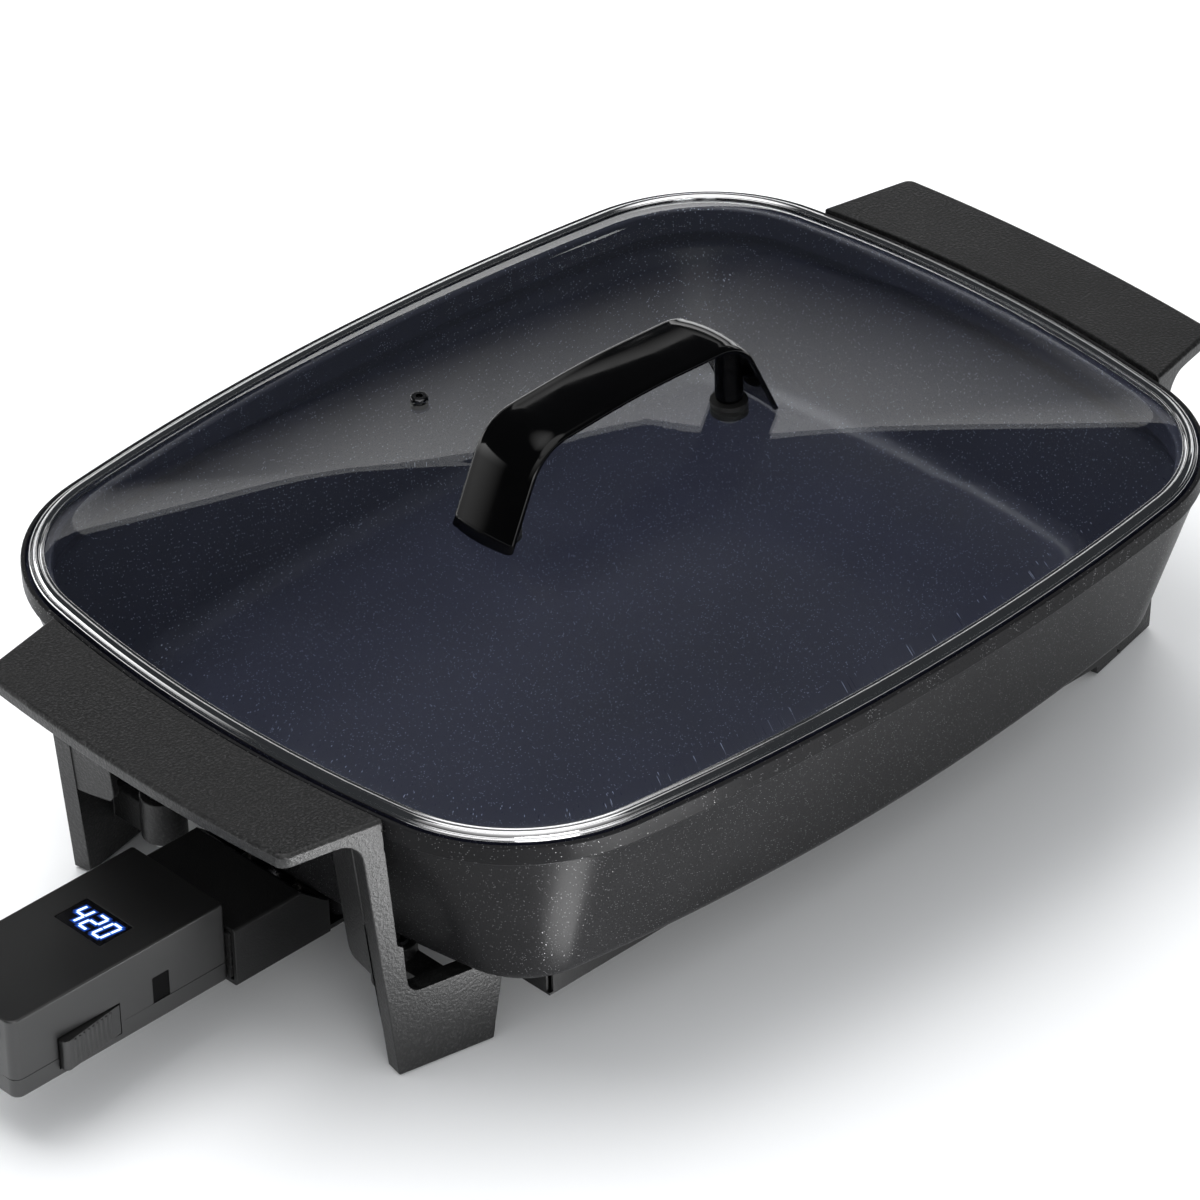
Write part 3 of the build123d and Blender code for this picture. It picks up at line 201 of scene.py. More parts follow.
def textured_plastic(name, base, rough, grain, bump, speck=0.0, coat=0.0, gloss=0.5):
    """Moulded plastic with a fine spark-eroded grain and slight colour change."""
    mat, out, add, join = new_material(name)
    shader = principled(add, base, rough, coat=coat, coat_rough=0.25)
    fine = object_noise(add, join, grain, 2, 0.6)
    broad = object_noise(add, join, 28, 4)
    lighter = tuple(min(1.0, c * 1.5 + speck) for c in base)
    tone = mix_colour(add, join, ranged(add, join, fine, 0.5, 0.78, 0.0, 1.0), base, lighter)
    darker = tuple(c * 0.82 for c in base)
    patches = ranged(add, join, broad, 0.3, 0.7, 0.0, 0.45)
    join(mix_colour(add, join, patches, tone, darker), shader.inputs["Base Color"])
    join(ranged(add, join, broad, 0.3, 0.7, rough - 0.04, rough + 0.05), shader.inputs["Roughness"])
    shader.inputs["Specular IOR Level"].default_value = gloss
    join(bump_from(add, join, fine, bump, 0.0002), shader.inputs["Normal"])
    join(shader.outputs[0], out.inputs[0])
    return mat


def glossy_plastic(name, base, rough, coat, gloss=0.5):
    """Polished dark plastic with faint handling smears in its gloss."""
    mat, out, add, join = new_material(name)
    shader = principled(add, base, rough, coat=coat, coat_rough=0.04, specular=gloss)
    smear = object_noise(add, join, 60, 5, 0.65)
    join(ranged(add, join, smear, 0.35, 0.75, rough, rough + 0.09), shader.inputs["Roughness"])
    tone = tuple(c * 1.25 for c in base)
    patches = ranged(add, join, smear, 0.3, 0.8, 0.0, 1.0)
    join(mix_colour(add, join, patches, base, tone), shader.inputs["Base Color"])
    join(bump_from(add, join, object_noise(add, join, 14, 2), 0.05, 0.0006), shader.inputs["Normal"])
    join(shader.outputs[0], out.inputs[0])
    return mat


def worn_metal(name, base, rough, streak=(1.0, 1.0, 1.0), variation=0.12, bump=0.03, metal=1.0):
    """Metal with fine drawn lines along one axis and a soft tarnish."""
    mat, out, add, join = new_material(name)
    shader = principled(add, base, rough, metal=metal)
    place = add("ShaderNodeTexCoord")
    stretch = add("ShaderNodeMapping")
    stretch.inputs["Scale"].default_value = streak
    lines = add("ShaderNodeTexNoise")
    lines.inputs["Scale"].default_value = 900
    lines.inputs["Detail"].default_value = 2
    join(place.outputs["Object"], stretch.inputs["Vector"])
    join(stretch.outputs[0], lines.inputs["Vector"])
    cloud = object_noise(add, join, 40, 4)
    darker = tuple(c * (1 - 2 * variation) for c in base)
    tarnish = ranged(add, join, cloud, 0.35, 0.7, 0.0, 1.0)
    join(mix_colour(add, join, tarnish, base, darker), shader.inputs["Base Color"])
    sheen = ranged(add, join, lines.outputs["Fac"], 0.3, 0.7, rough * 0.7, rough * 1.4)
    join(sheen, shader.inputs["Roughness"])
    join(bump_from(add, join, lines.outputs["Fac"], bump, 0.00005), shader.inputs["Normal"])
    join(shader.outputs[0], out.inputs[0])
    return mat


def clear_glass(name):
    """Clear tempered glass that lamps and soft light pass through."""
    mat, out, add, join = new_material(name)
    shader = principled(add, (0.97, 0.985, 0.98), 0.0)
    shader.inputs["Transmission Weight"].default_value = 1.0
    shader.inputs["IOR"].default_value = 1.48
    film = ranged(add, join, object_noise(add, join, 25, 5), 0.4, 0.8, 0.0, 0.03)
    join(film, shader.inputs["Roughness"])
    through = add("ShaderNodeBsdfTransparent")
    through.inputs["Color"].default_value = (0.94, 0.955, 0.95, 1)
    path = add("ShaderNodeLightPath")
    either = add("ShaderNodeMath", operation="MAXIMUM")
    join(path.outputs["Is Shadow Ray"], either.inputs[0])
    join(path.outputs["Is Diffuse Ray"], either.inputs[1])
    mix = add("ShaderNodeMixShader")
    join(either.outputs[0], mix.inputs[0])
    join(shader.outputs[0], mix.inputs[1])
    join(through.outputs[0], mix.inputs[2])
    join(mix.outputs[0], out.inputs[0])
    return mat


def lit_digits(name):
    """Glowing segments: white hot middle, blue edge."""
    mat, out, add, join = new_material(name)
    shader = principled(add, (0.7, 0.85, 1.0), 0.3)
    shader.inputs["Emission Color"].default_value = (0.66, 0.84, 1.0, 1)
    shader.inputs["Emission Strength"].default_value = 1.15
    cloud = object_noise(add, join, 900, 1)
    patches = ranged(add, join, cloud, 0.3, 0.7, 0.0, 1.0)
    join(mix_colour(add, join, patches, (0.62, 0.8, 1.0), (0.8, 0.92, 1.0)), shader.inputs["Base Color"])
    join(shader.outputs[0], out.inputs[0])
    return mat


OUTER_FLECK = (0.36, 0.36, 0.37)
INNER_FLECK = (0.60, 0.66, 0.85)
PAN_OUTER = (0.0135, 0.0135, 0.0142)
PAN_INNER = (0.0205, 0.0220, 0.0390)
M = {
    "cast_nonstick": speckled_coating(
        "cast_nonstick", PAN_OUTER, OUTER_FLECK, cells_per_metre=1900, share=0.20, fleck_size=0.26,
        rough=0.30, tilt=0.8, gloss=0.5, ior=1.10),
    "cast_inside": speckled_coating(
        "cast_inside", PAN_INNER, INNER_FLECK, cells_per_metre=1500, share=0.26, fleck_size=0.22,
        rough=0.32, tilt=0.9, gloss=0.4, ior=1.4),
    "phenolic_black": textured_plastic(
        "phenolic_black", (0.0036, 0.0036, 0.0038), 0.42, 850, 1.4, speck=0.034, gloss=0.6),
    "satin_black": textured_plastic(
        "satin_black", (0.0034, 0.0034, 0.0036), 0.4, 2600, 0.12, speck=0.001, gloss=0.9),
    "gloss_black": glossy_plastic("gloss_black", (0.0008, 0.0008, 0.0009), 0.05, coat=0.0, gloss=0.26),
    "clear_glass": clear_glass("clear_glass"),
    "polished_steel": worn_metal("polished_steel", (0.86, 0.86, 0.87), 0.08, (1, 1, 1), 0.04, 0.01),
    "sheet_black": textured_plastic("sheet_black", (0.0022, 0.0022, 0.0025), 0.5, 1400, 0.6, 0.005),
    "element_sheath": worn_metal("element_sheath", (0.16, 0.15, 0.14), 0.42, (0.1, 1, 1), 0.2),
    "bare_steel": worn_metal("bare_steel", (0.5, 0.5, 0.51), 0.3, (1, 1, 0.1), 0.12),
    "contact_brass": worn_metal("contact_brass", (0.72, 0.55, 0.25), 0.28, (0.1, 1, 1), 0.12),
    "rubber_black": textured_plastic("rubber_black", (0.012, 0.012, 0.012), 0.78, 700, 0.3),
    "silicone_black": textured_plastic("silicone_black", (0.010, 0.010, 0.010), 0.6, 900, 0.15),
    "window_black": glossy_plastic("window_black", (0.002, 0.002, 0.0025), 0.03, coat=1.0),
    "digit_glow": lit_digits("digit_glow"),
    "board_green": textured_plastic("board_green", (0.01, 0.07, 0.03), 0.45, 700, 0.2, 0.01),
    "relay_black": textured_plastic("relay_black", (0.012, 0.012, 0.013), 0.45, 1200, 0.2),
}
slot_of = {part["node"]: part["material_slot"] for part in frame["record"]["subparts"]}
for node_name, obj in nodes.items():
    obj.data.materials.clear()
    obj.data.materials.append(M[slot_of[node_name]])

# sharp moulded edges that get a small round, by its width in millimetres
BEVELLED = {
    "controller_side_frame": 0.5, "far_side_frame": 0.5, "controller_top_shell": 0.35, "terminal_guard": 0.3,
    "release_lever_near": 0.3, "release_lever_far": 0.3,
}
SEAM_GAP = 0.02
SHARP_ANGLE = 35  # degrees
for node_name, width in BEVELLED.items():
    weld = nodes[node_name].modifiers.new("joined_seams", "WELD")
    weld.merge_threshold = SEAM_GAP * MM
    edge = nodes[node_name].modifiers.new("rounded_edges", "BEVEL")
    edge.width = width * MM
    edge.use_clamp_overlap = False
    edge.segments = 3
    edge.limit_method = "ANGLE"
    edge.angle_limit = math.radians(SHARP_ANGLE)
    edge.harden_normals = True
    nodes[node_name].modifiers.new("face_weight", "WEIGHTED_NORMAL").weight = FACE_WEIGHT
# the steam vent stays steel, but its colour is darkened all over: painted shade standing in for its dark hole
nodes["steam_vent"].data.materials[0] = worn_metal("vent_steel_painted_shade", (0.10, 0.10, 0.105), 0.14, variation=0.05)
smoked_pane = textured_plastic("smoked_pane", (0.0008, 0.0008, 0.001), 0.6, 900, 0.05, gloss=0.1)
nodes["side_windows"].data.materials[0] = smoked_pane


# ------------------------------------------------------------------ mesh helpers, in millimetres
def mesh_piece(name, verts, faces, materials, body, slot, *replaced):
    """A smooth-shaded piece from points in millimetres, riding on a body."""
    mesh = bpy.data.meshes.new(name)
    mesh.from_pydata([(x * MM, y * MM, z * MM) for x, y, z in verts], [], faces)
    for material in materials:
        mesh.materials.append(material)
    mesh.polygons.foreach_set("use_smooth", [True] * len(mesh.polygons))
    obj = bpy.data.objects.new(name, mesh)
    bpy.context.scene.collection.objects.link(obj)
    work = bmesh.new()
    work.from_mesh(mesh)
    bmesh.ops.recalc_face_normals(work, faces=work.faces)
    work.to_mesh(mesh)
    work.free()
    weighted = obj.modifiers.new("face_weight", "WEIGHTED_NORMAL")
    weighted.weight = FACE_WEIGHT
    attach(obj, body)
    if replaced:
        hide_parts(*replaced)
    return obj


def arc_points(centre, radius, start, stop, count):
    """Points along an arc, the last one left out."""
    steps = [start + (stop - start) * i / count for i in range(count)]
    return [(centre[0] + radius * math.cos(a), centre[1] + radius * math.sin(a)) for a in steps]


HALF_LENGTH, HALF_WIDTH = 208.0, 164.4
END_RADIUS, SIDE_RADIUS, CORNER_RADIUS = 610.0, 1011.0, 70.0
ARC_STEPS = (10, 18, 12)


def outline(grow, loss=0.0):
    """The pan's plan outline, eight tangent arcs, grown from the lid ring's; anticlockwise points."""
    end_x = HALF_LENGTH - END_RADIUS
    side_y = HALF_WIDTH - SIDE_RADIUS
    radius = CORNER_RADIUS + grow - loss
    end_reach = END_RADIUS + grow - radius
    side_reach = SIDE_RADIUS + grow - radius
    apart = math.hypot(end_x, side_y)
    along = (end_reach**2 - side_reach**2 + apart**2) / (2 * apart)
    across = math.sqrt(end_reach**2 - along**2)
    ux, uy = -end_x / apart, side_y / apart
    centre = (end_x + along * ux - across * uy, along * uy + across * ux)
    to_end = math.atan2(centre[1], centre[0] - end_x)
    to_side = math.atan2(centre[1] - side_y, centre[0])
    quarter = arc_points((end_x, 0), END_RADIUS + grow, 0, to_end, ARC_STEPS[0])
    quarter += arc_points(centre, radius, to_end, to_side, ARC_STEPS[1])
    quarter += arc_points((0, side_y), SIDE_RADIUS + grow, to_side, math.pi / 2, ARC_STEPS[2])
    top = (0, HALF_WIDTH + grow)
    half = quarter + [top] + [(-x, y) for x, y in reversed(quarter[1:])]
    return half + [(-x, -y) for x, y in half]


def rounded(corners, steps=6):
    """Rounds a profile of (grow, loss, z, radius) corners; gives (grow, loss, z) points."""
    points = [corners[0][:3]]
    for before, here, after in zip(corners, corners[1:], corners[2:]):
        p, a, b = (Vector((c[0], c[2])) for c in (here, before, after))
        to_a, to_b = (a - p), (b - p)
        half = to_a.angle(to_b) / 2
        if here[3] <= 0 or half > math.pi / 2 - 0.02:
            points.append(here[:3])
            continue
        cut = min(here[3] / math.tan(half), to_a.length * 0.49, to_b.length * 0.49)
        radius = cut * math.tan(half)
        middle = p + (to_a.normalized() + to_b.normalized()).normalized() * radius / math.sin(half)
        first, last = p + to_a.normalized() * cut, p + to_b.normalized() * cut
        start = math.atan2(first.y - middle.y, first.x - middle.x)
        turn = math.atan2(last.y - middle.y, last.x - middle.x) - start
        turn = (turn + math.pi) % (2 * math.pi) - math.pi
        loss_a = here[1] + (before[1] - here[1]) * cut / to_a.length
        loss_b = here[1] + (after[1] - here[1]) * cut / to_b.length
        for i in range(steps + 1):
            share = i / steps
            angle = start + turn * share
            spot = middle + Vector((math.cos(angle), math.sin(angle))) * radius
            points.append((spot.x, loss_a + (loss_b - loss_a) * share, spot.y))
    points.append(corners[-1][:3])
    return points


def skin(loops, closed=False, cap_first=False, cap_last=False):
    """Quads between matching loops of points, with a fan at either end."""
    count = len(loops[0])
    verts = [v for loop in loops for v in loop]
    faces = []
    pairs = len(loops) if closed else len(loops) - 1
    for k in range(pairs):
        a, b = k * count, ((k + 1) % len(loops)) * count
        for i in range(count):
            j = (i + 1) % count
            faces.append((a + i, a + j, b + j, b + i))
    for wanted, start in ((cap_first, 0), (cap_last, (len(loops) - 1) * count)):
        if wanted:
            ring = verts[start:start + count]
            verts.append(tuple(sum(p[k] for p in ring) / count for k in range(3)))
            centre = len(verts) - 1
            faces += [(start + i, start + (i + 1) % count, centre) for i in range(count)]
    return verts, faces


def circle(centre, radius, count):
    """Points once round a circle."""
    return arc_points(centre, radius, 0, 2 * math.pi, count)


def at_height(points, z, share=1.0):
    """Plan points lifted to a height, shrunk towards the middle by share."""
    return [(x * share, y * share, z) for x, y in points]


def append_part(verts, faces, part):
    """Adds another part's points and faces to the lists."""
    offset = len(verts)
    verts += part[0]
    faces += [tuple(i + offset for i in face) for face in part[1]]


def flat_loops(grow, loss, z, shares):
    """Shrinking copies of one outline at one height."""
    ring = outline(grow, loss)
    return [at_height(ring, z, s) for s in shares]


def plan_loops(profile):
    """The plan outline at each (grow, loss, z) of a profile."""
    return [at_height(outline(grow, loss), z) for grow, loss, z in profile]


# ------------------------------------------------------------------ pan
UNDERSIDE, FLOOR, BAND_BOTTOM, RIM_TOP, LEDGE = 37.0, 41.0, 108.5, 116.5, 112.5
WALL_FOOT, WALL_TOP, WALL_THICK, NECK_Z = -24.0, 1.5, 3.6, 96.0
CORNER_LOSS = 15.0
NECK_GROW = WALL_FOOT + (WALL_TOP - WALL_FOOT) * (NECK_Z - UNDERSIDE) / (BAND_BOTTOM - UNDERSIDE) - WALL_THICK
UNDER_START, INSIDE_END = -40.0, -44.0
SHRINK = (0.97, 0.8, 0.55, 0.28)
# once round the wall from the underside to the cooking floor
wall_profile = rounded([
    (UNDER_START, CORNER_LOSS, UNDERSIDE, 0),
    (WALL_FOOT, CORNER_LOSS, UNDERSIDE, 14.0),
    (WALL_TOP, 0.0, BAND_BOTTOM - 0.9, 1.2),
    (2.9, 0.0, BAND_BOTTOM + 0.2, 0.9),
    (3.0, 0.0, RIM_TOP, 0.8),
    (1.2, 0.0, RIM_TOP, 0.5),
    (1.2, 0.0, LEDGE, 0.5),
    (-9.5, 0.0, LEDGE, 1.6),
    (-9.6, 0.0, 102.0, 5.0),
    (NECK_GROW, 2.5, 95.0, 6.0),
    (WALL_FOOT - WALL_THICK, CORNER_LOSS, FLOOR, 12.0),
    (INSIDE_END, CORNER_LOSS, FLOOR, 0),
], 8)
under = flat_loops(UNDER_START, CORNER_LOSS, UNDERSIDE, SHRINK)[::-1]
inside = flat_loops(INSIDE_END, CORNER_LOSS, FLOOR, SHRINK)
verts, faces = skin(under + plan_loops(wall_profile) + inside, cap_first=True, cap_last=True)

# screw bosses under the floor, as (x, y, radius, foot): for the frames, the shield and the guard
BOSS_ROWS = [(180.0, 65.0, 6.0, 29.0), (105.0, 60.0, 4.5, 27.0)]
BOSS_BEVEL, BOSS_ROOT = 0.5, 1.5
boss_spots = [(sx * x, sy * y, r, z) for x, y, r, z in BOSS_ROWS for sx in (-1, 1) for sy in (-1, 1)]
boss_spots += [(-169.0, 23.0, 4.5, 22.5), (-169.0, -23.0, 4.5, 22.5)]
for x, y, radius, foot in boss_spots:
    ring = circle((x, y), radius, 24)
    small = circle((x, y), radius - BOSS_BEVEL, 24)
    boss = [at_height(small, foot), at_height(ring, foot + BOSS_BEVEL), at_height(ring, UNDERSIDE + BOSS_ROOT)]
    append_part(verts, faces, skin(boss, cap_first=True))
coatings = [M["cast_nonstick"], M["cast_inside"]]
pan = mesh_piece("pan_shell", verts, faces, coatings, "pan", "cast_nonstick", "pan_body")
INSIDE_LOW, INSIDE_HIGH = 39.5, RIM_TOP - 0.6
for polygon in pan.data.polygons:
    middle, normal = polygon.center, polygon.normal
    facing_in = normal.x * middle.x + normal.y * middle.y < 0 or normal.z > 0.3
    if facing_in and INSIDE_LOW * MM < middle.z < INSIDE_HIGH * MM:
        polygon.material_index = 1

# ------------------------------------------------------------------ lid: glass, ring, handle
GLASS_GROW, GLASS_LOW, GLASS_THICK, DOME = -2.1, 113.6, 4.0, 15.0


def dome(share):
    return DOME * (1 - share**2)


FIRST_SHARE, GLASS_RINGS, LOWER_SHRINK = 0.06, 26, 0.985
glass_plan = outline(GLASS_GROW)
shares = [FIRST_SHARE + (1 - FIRST_SHARE) * (i / GLASS_RINGS) for i in range(GLASS_RINGS)]
upper = [at_height(glass_plan, GLASS_LOW + GLASS_THICK + dome(s), s) for s in shares]
lower = [at_height(glass_plan, GLASS_LOW + dome(s), s * LOWER_SHRINK) for s in shares]
GLASS_EDGE = [(0.0, 117.25), (0.0, 116.2), (0.0, 114.4), (-0.3, 113.75), (-1.2, 113.62)]
edge_loops = [at_height(outline(GLASS_GROW + grow), z) for grow, z in GLASS_EDGE]
verts, faces = skin(upper + edge_loops + lower[::-1], cap_first=True, cap_last=True)
mesh_piece("glass_dome", verts, faces, [M["clear_glass"]], "lid", "clear_glass", "lid_glass")

# rolled steel channel round the glass, as (grow, z): outer bead, groove, main bead, inner lip, seat
RING_PROFILE = [
    (0.0, 112.9), (0.0, 116.4), (-0.1, 117.0), (-0.45, 117.55), (-0.95, 117.7), (-1.35, 117.45), (-1.5, 117.25),
    (-1.7, 117.6), (-2.1, 118.4), (-2.7, 119.0), (-3.4, 119.28), (-4.1, 119.25), (-4.7, 118.95), (-5.1, 118.6),
    (-5.25, 118.5), (-5.45, 118.75), (-5.8, 118.85), (-6.1, 118.7), (-6.2, 118.5), (-6.1, 118.4),
    (-4.6, 118.15), (-2.05, 117.65), (-2.0, 114.0), (-2.4, 113.5), (-6.0, 113.4), (-6.2, 113.2), (-6.0, 112.65),
    (-0.3, 112.6),
]
verts, faces = skin([at_height(outline(grow), z) for grow, z in RING_PROFILE], closed=True)
mesh_piece("steel_ring", verts, faces, [M["polished_steel"]], "lid", "polished_steel", "lid_rim")

# bridge handle: a hollow strap along a bent line of (x, z), with a boss inside each end
HANDLE_FOOT, HANDLE_SHOULDER, HANDLE_TOP = (73.5, 131.0), (54.5, 171.5), 174.2
HANDLE_BEND, HANDLE_BOW, LEG_STEPS = 24.0, 400.0, 6
STRAP_HALF, STRAP_THICK, STRAP_CROWN = 16.0, 4.0, 1.9
STRAP_TOP_HALF, STRAP_EDGE_DROP, STRAP_EDGE_STEPS = 12.6, 1.7, 7
HOLLOW_HALF, HOLLOW_DEPTH = 13.6, 0.8


def strap_section():
    """Across the strap: crowned top, rounded long edges, hollow underside; (y, depth) points."""
    points = []
    for i in range(17):
        y = -STRAP_TOP_HALF + 2 * STRAP_TOP_HALF * i / 16
        points.append((y, -STRAP_CROWN * (y / STRAP_HALF) ** 2))
    rim_top = points[-1][1]
    side = []
    for i in range(1, STRAP_EDGE_STEPS + 1):
        a = math.pi / 2 * i / STRAP_EDGE_STEPS
        y = STRAP_TOP_HALF + (STRAP_HALF - STRAP_TOP_HALF) * math.sin(a)
        side.append((y, rim_top - STRAP_EDGE_DROP * (1 - math.cos(a))))
    base = -STRAP_THICK
    side += [(15.9, base + 0.35), (15.5, base), (14.6, base), (14.2, base + 0.3)]
    hollow = []
    for i in range(9):
        y = HOLLOW_HALF - 2 * HOLLOW_HALF * i / 8
        hollow.append((y, base + 0.5 + HOLLOW_DEPTH * (1 - (y / HOLLOW_HALF) ** 2)))
    return points + side + hollow + [(-y, depth) for y, depth in reversed(side)]


line = rounded([
    (-HANDLE_FOOT[0], 0, HANDLE_FOOT[1], 0), (-HANDLE_SHOULDER[0], 0, HANDLE_SHOULDER[1], HANDLE_BEND),
    (0.0, 0, HANDLE_TOP, HANDLE_BOW),
    (HANDLE_SHOULDER[0], 0, HANDLE_SHOULDER[1], HANDLE_BEND), (HANDLE_FOOT[0], 0, HANDLE_FOOT[1], 0),
], 16)
spine = [Vector((x, z)) for x, _, z in line]
first_leg = [spine[0].lerp(spine[1], i / LEG_STEPS) for i in range(LEG_STEPS)]
last_leg = [spine[-2].lerp(spine[-1], (i + 1) / LEG_STEPS) for i in range(LEG_STEPS)]
spine = first_leg + spine[1:-1] + last_leg
loops = []
for i, spot in enumerate(spine):
    ahead = spine[min(i + 1, len(spine) - 1)]
    behind = spine[max(i - 1, 0)]
    run = (ahead - behind).normalized()
    out = Vector((-run.y, run.x))
    ring = []
    for y, depth in strap_section():
        point = spot + out * depth
        if i in (0, len(spine) - 1):
            point = point + run * ((HANDLE_FOOT[1] - point.y) / run.y)
        ring.append((point.x, y, point.y))
    loops.append(ring)
verts, faces = skin(loops)
count = len(loops[0])
faces += [tuple(range(count))[::-1], tuple(range((len(loops) - 1) * count, len(loops) * count))]


def strap_height(x):
    """Height of the strap's outer face above a place along it."""
    for before, after in zip(spine, spine[1:]):
        if before.x <= x <= after.x:
            return before.y + (after.y - before.y) * (x - before.x) / (after.x - before.x)
    return HANDLE_FOOT[1]


# each boss as (radius, z), kept below the strap's outer face
BOSS_X, BOSS_COVER = 60.0, 2.2
BOSS_STACK = [(3.2, 133.45), (4.6, 133.6), (5.3, 134.3), (5.5, 135.4), (5.5, 150.0), (5.5, 168.2)]
for side in (-1, 1):
    tube = [at_height(circle((side * BOSS_X, 0), radius, 32), z) for radius, z in BOSS_STACK]
    tube = [[(x, y, min(z, strap_height(x) - BOSS_COVER)) for x, y, z in ring] for ring in tube]
    append_part(verts, faces, skin(tube, cap_first=True))
mesh_piece("bridge_handle", verts, faces, [M["gloss_black"]], "lid", "gloss_black", "lid_handle")


# ------------------------------------------------------------------ glow round the lit digits
SEGMENTS_LIT = {"4": "bcfg", "2": "abdeg", "0": "abcdef"}
DIGIT_HEIGHT, DIGIT_WIDTH, DIGIT_PITCH, DIGIT_LEAN, STROKE = 10.5, 5.3, 7.4, math.radians(8), 1.0
DISPLAY_X, DISPLAY_TOP = -268.0, 56.9
BAR_LIFT = 0.001


def segment_corners(letter, grow):
    """Corners of one bar of an upright seven-bar digit, grown on all sides."""
    high, wide = (DIGIT_HEIGHT - STROKE) / 2, (DIGIT_WIDTH - STROKE) / 2
    across = (DIGIT_WIDTH - 1.6 * STROKE, STROKE)
    down = (STROKE, high - 0.6 * STROKE)
    x, y, size = {
        "a": (0, high, across), "b": (wide, high / 2, down), "c": (wide, -high / 2, down),
        "d": (0, -high, across), "e": (-wide, -high / 2, down), "f": (-wide, high / 2, down), "g": (0, 0, across),
    }[letter]
    half = (size[0] / 2 + grow, size[1] / 2 + grow)
    return [(x + i * half[0], y + j * half[1]) for i, j in ((-1, -1), (1, -1), (1, 1), (-1, 1))]


def digit_glow(name, grow, height, colour):
    """Soft-edged light that spreads in the window round every lit bar."""
    mat, out, add, join = new_material(name)
    shader = principled(add, (0.002, 0.004, 0.02), 0.3)
    shader.inputs["Emission Color"].default_value = (*colour, 1)
    shader.inputs["Emission Strength"].default_value = 1.0
    cloud = object_noise(add, join, 500, 2)
    join(ranged(add, join, cloud, 0.3, 0.7, 0.25, 0.4), shader.inputs["Roughness"])
    join(shader.outputs[0], out.inputs[0])
    verts, faces = [], []
    for place, digit in enumerate("420"):
        for k, letter in enumerate(SEGMENTS_LIT[digit]):
            start = len(verts)
            for x, y in segment_corners(letter, grow):
                across = x + math.tan(DIGIT_LEAN) * y + (place - 1) * DIGIT_PITCH
                verts.append((DISPLAY_X + y, -across, DISPLAY_TOP + height + BAR_LIFT * k))
            faces.append((start, start + 1, start + 2, start + 3))
    mesh_piece(name, verts, faces, [mat], "controller", "digit_glow")


digit_glow("digit_halo_near", 0.4, 0.03, (0.03, 0.17, 0.85))
digit_glow("digit_halo_wide", 0.95, 0.015, (0.004, 0.03, 0.2))


# ------------------------------------------------------------------ floor and light
def plain_material(name, colour, rough):
    """A matte surface with a slight change in its sheen."""
    mat, out, add, join = new_material(name)
    shader = principled(add, colour, rough)
    cloud = object_noise(add, join, 3, 3)
    join(ranged(add, join, cloud, 0.3, 0.7, rough - 0.02, rough + 0.02), shader.inputs["Roughness"])
    join(shader.outputs[0], out.inputs[0])
    return mat


FLOOR_HALF = 6.0
floor_corners = [(x * FLOOR_HALF, y * FLOOR_HALF, 0) for x, y in ((-1, -1), (1, -1), (1, 1), (-1, 1))]
floor_mesh = bpy.data.meshes.new("pale_floor")
floor_mesh.from_pydata(floor_corners, [], [(0, 1, 2, 3)])
floor_mesh.materials.append(plain_material("floor_white", (0.94, 0.947, 0.955), 0.5))
pale_floor = bpy.data.objects.new("pale_floor", floor_mesh)
bpy.context.scene.collection.objects.link(pale_floor)


def softbox(name, place, aim, size, power, spread=180.0, mirrored=True, through_glass=True):
    """A rectangular area light that points at aim, in metres, and isn't seen by the camera."""
    data = bpy.data.lights.new(name, "AREA")
    data.shape = "RECTANGLE"
    data.size, data.size_y = size
    data.energy = power
    data.spread = math.radians(spread)
    lamp = bpy.data.objects.new(name, data)
    bpy.context.scene.collection.objects.link(lamp)
    place, aim = Vector(place), Vector(aim)
    lamp.matrix_world = Matrix.Translation(place) @ (aim - place).to_track_quat("-Z", "Y").to_matrix().to_4x4()
    lamp.visible_camera = False
    lamp.visible_glossy = mirrored
    lamp.visible_transmission = through_glass


WORLD_SHADES = [
    ("room", (0.85, 0.92, 1.0), 0.035), ("fill", (0.97, 0.985, 1.0), 0.72), ("seen", (1, 1, 1), 0.95),
]


def make_world():
    """Pale to the camera, soft fill for matte surfaces, and a dim room for gloss to mirror."""
    world = bpy.data.worlds.new("studio")
    world.use_nodes = True
    tree = world.node_tree
    path = tree.nodes.new("ShaderNodeLightPath")
    shades = {}
    for name, colour, strength in WORLD_SHADES:
        shade = tree.nodes.new("ShaderNodeBackground")
        shade.inputs["Color"].default_value = (*colour, 1)
        shade.inputs["Strength"].default_value = strength
        shades[name] = shade.outputs[0]
    lit = tree.nodes.new("ShaderNodeMixShader")
    tree.links.new(path.outputs["Is Diffuse Ray"], lit.inputs[0])
    tree.links.new(shades["room"], lit.inputs[1])
    tree.links.new(shades["fill"], lit.inputs[2])
    final = tree.nodes.new("ShaderNodeMixShader")
    tree.links.new(path.outputs["Is Camera Ray"], final.inputs[0])
    tree.links.new(lit.outputs[0], final.inputs[1])
    tree.links.new(shades["seen"], final.inputs[2])
    tree.links.new(final.outputs[0], tree.nodes["World Output"].inputs[0])
    bpy.context.scene.world = world


LID_HEIGHT = 0.12


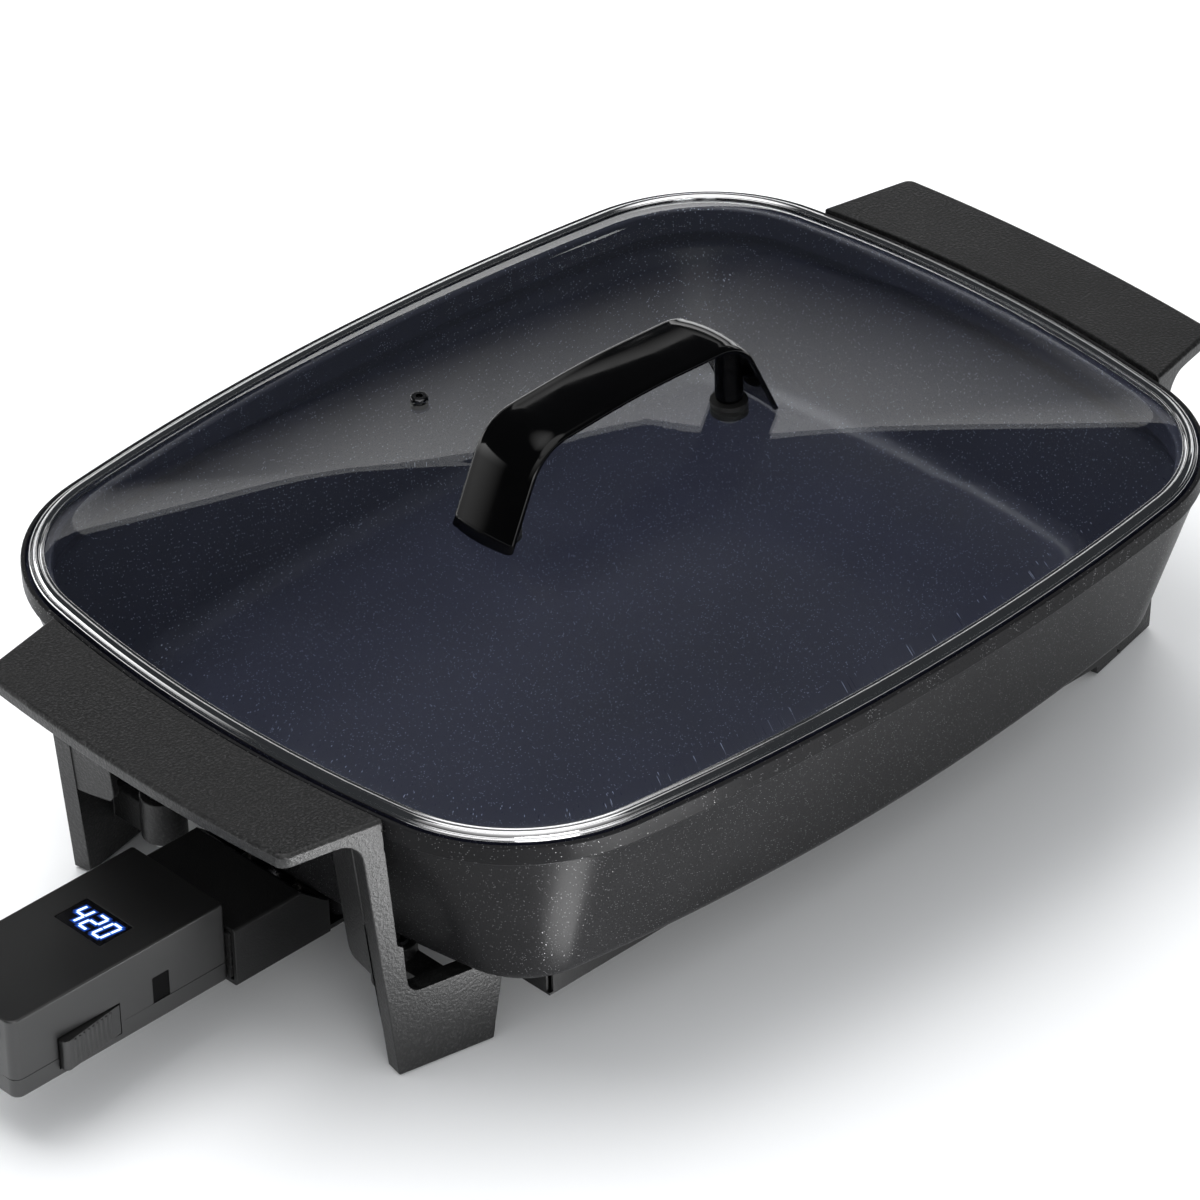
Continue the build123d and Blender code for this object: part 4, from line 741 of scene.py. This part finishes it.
def glow_card(name, azimuth, spread, low, high, distance, strength, side_fade=1.0, swells=()):
    """A curved card that only gloss mirrors; fades to its foot, and sideways past side_fade of its width.

    Each swell (degrees from the middle, half width, rise) bends the top edge up or down.
    """
    mat, out, add, join = new_material(name)
    glow = add("ShaderNodeEmission")
    place = add("ShaderNodeTexCoord")
    split = add("ShaderNodeSeparateXYZ")
    join(place.outputs["UV"], split.inputs[0])
    level = add("ShaderNodeMath", operation="MULTIPLY")
    join(ranged(add, join, split.outputs["Y"], 0.0, 1.0, 0.0, strength), level.inputs[0])
    join(ranged(add, join, split.outputs["X"], side_fade, 1.001, 1.0, 0.0), level.inputs[1])
    join(level.outputs[0], glow.inputs["Strength"])
    join(glow.outputs[0], out.inputs[0])
    columns = 48
    mesh = bpy.data.meshes.new(name)
    points = []
    for elevation, bends in ((low, ()), (high, swells)):
        for i in range(columns + 1):
            off = spread * (2 * i / columns - 1)
            a = math.radians(azimuth + off)
            bend = sum(rise * math.exp(-(((off - at) / wide) ** 2)) for at, wide, rise in bends)
            height = LID_HEIGHT + distance * math.tan(math.radians(elevation + bend))
            points.append((distance * math.cos(a), distance * math.sin(a), height))
    quads = [(i, i + 1, columns + 2 + i, columns + 1 + i) for i in range(columns)]
    mesh.from_pydata(points, [], quads)
    layer = mesh.uv_layers.new(name="card")
    for loop in mesh.loops:
        share = loop.vertex_index % (columns + 1) / columns
        layer.data[loop.index].uv = (share, 1.0 if loop.vertex_index > columns else 0.0)
    mesh.materials.append(mat)
    card = bpy.data.objects.new(name, mesh)
    bpy.context.scene.collection.objects.link(card)
    card.visible_camera = card.visible_diffuse = card.visible_shadow = False


def sky_card(name, place, radius, strength):
    """A disc overhead that only gloss mirrors, bright in the middle and soft at its edge."""
    mat, out, add, join = new_material(name)
    glow = add("ShaderNodeEmission")
    own = add("ShaderNodeTexCoord")
    reach = add("ShaderNodeVectorMath", operation="LENGTH")
    join(own.outputs["Object"], reach.inputs[0])
    fade = ranged(add, join, reach.outputs["Value"], radius * 0.7, radius, strength, 0.0)
    join(fade, glow.inputs["Strength"])
    join(glow.outputs[0], out.inputs[0])
    mesh = bpy.data.meshes.new(name)
    rim_points = circle((0, 0), radius, 48)
    mesh.from_pydata(at_height(rim_points, 0), [], [tuple(range(len(rim_points)))])
    mesh.materials.append(mat)
    card = bpy.data.objects.new(name, mesh)
    bpy.context.scene.collection.objects.link(card)
    card.location = place
    card.visible_camera = card.visible_diffuse = card.visible_shadow = False


make_world()
bpy.context.scene.view_settings.view_transform = "Standard"

softbox("overhead", (-0.3, 0.75, 2.2), (0, 0.1, 0), (2.0, 1.6), 38, mirrored=False)
softbox("front_key", (-0.55, -0.80, 0.28), (-0.2, -0.1, 0.07), (0.5, 0.3), 0.7, 100)
softbox("corner_glint", (-0.158, -0.180, 0.003), (-0.158, -0.180, 0.1), (0.03, 0.06), 0.08)
softbox("band_glint", (-0.12, -0.33, 0.003), (-0.12, -0.33, 0.1), (0.18, 0.08), 1.3)
softbox("back_floor", (1.3, 1.6, 1.3), (0.8, 0.9, 0), (2.0, 0.8), 26, mirrored=False, through_glass=False)

# cards that only gloss mirrors; the first gives the cloudy zone on the glass, with its wavy lower edge
glow_card("back_card", 47.5, 40, 19.5, 29.3, 2.6, 0.9, swells=((-1.5, 6, 1.6), (8.5, 4, -2.2), (-28, 9, -8)))
glow_card("low_card", 47.5, 45, 2, 14, 2.7, 2.2)
glow_card("left_card", 122, 26, -8, 16, 1.6, 4.0, 0.4)
sky_card("sky_card", (-0.2, -0.2, 2.5), 1.6, 1.5)
glow_card("front_card", -133, 60, 12, 60, 1.8, 2.2)
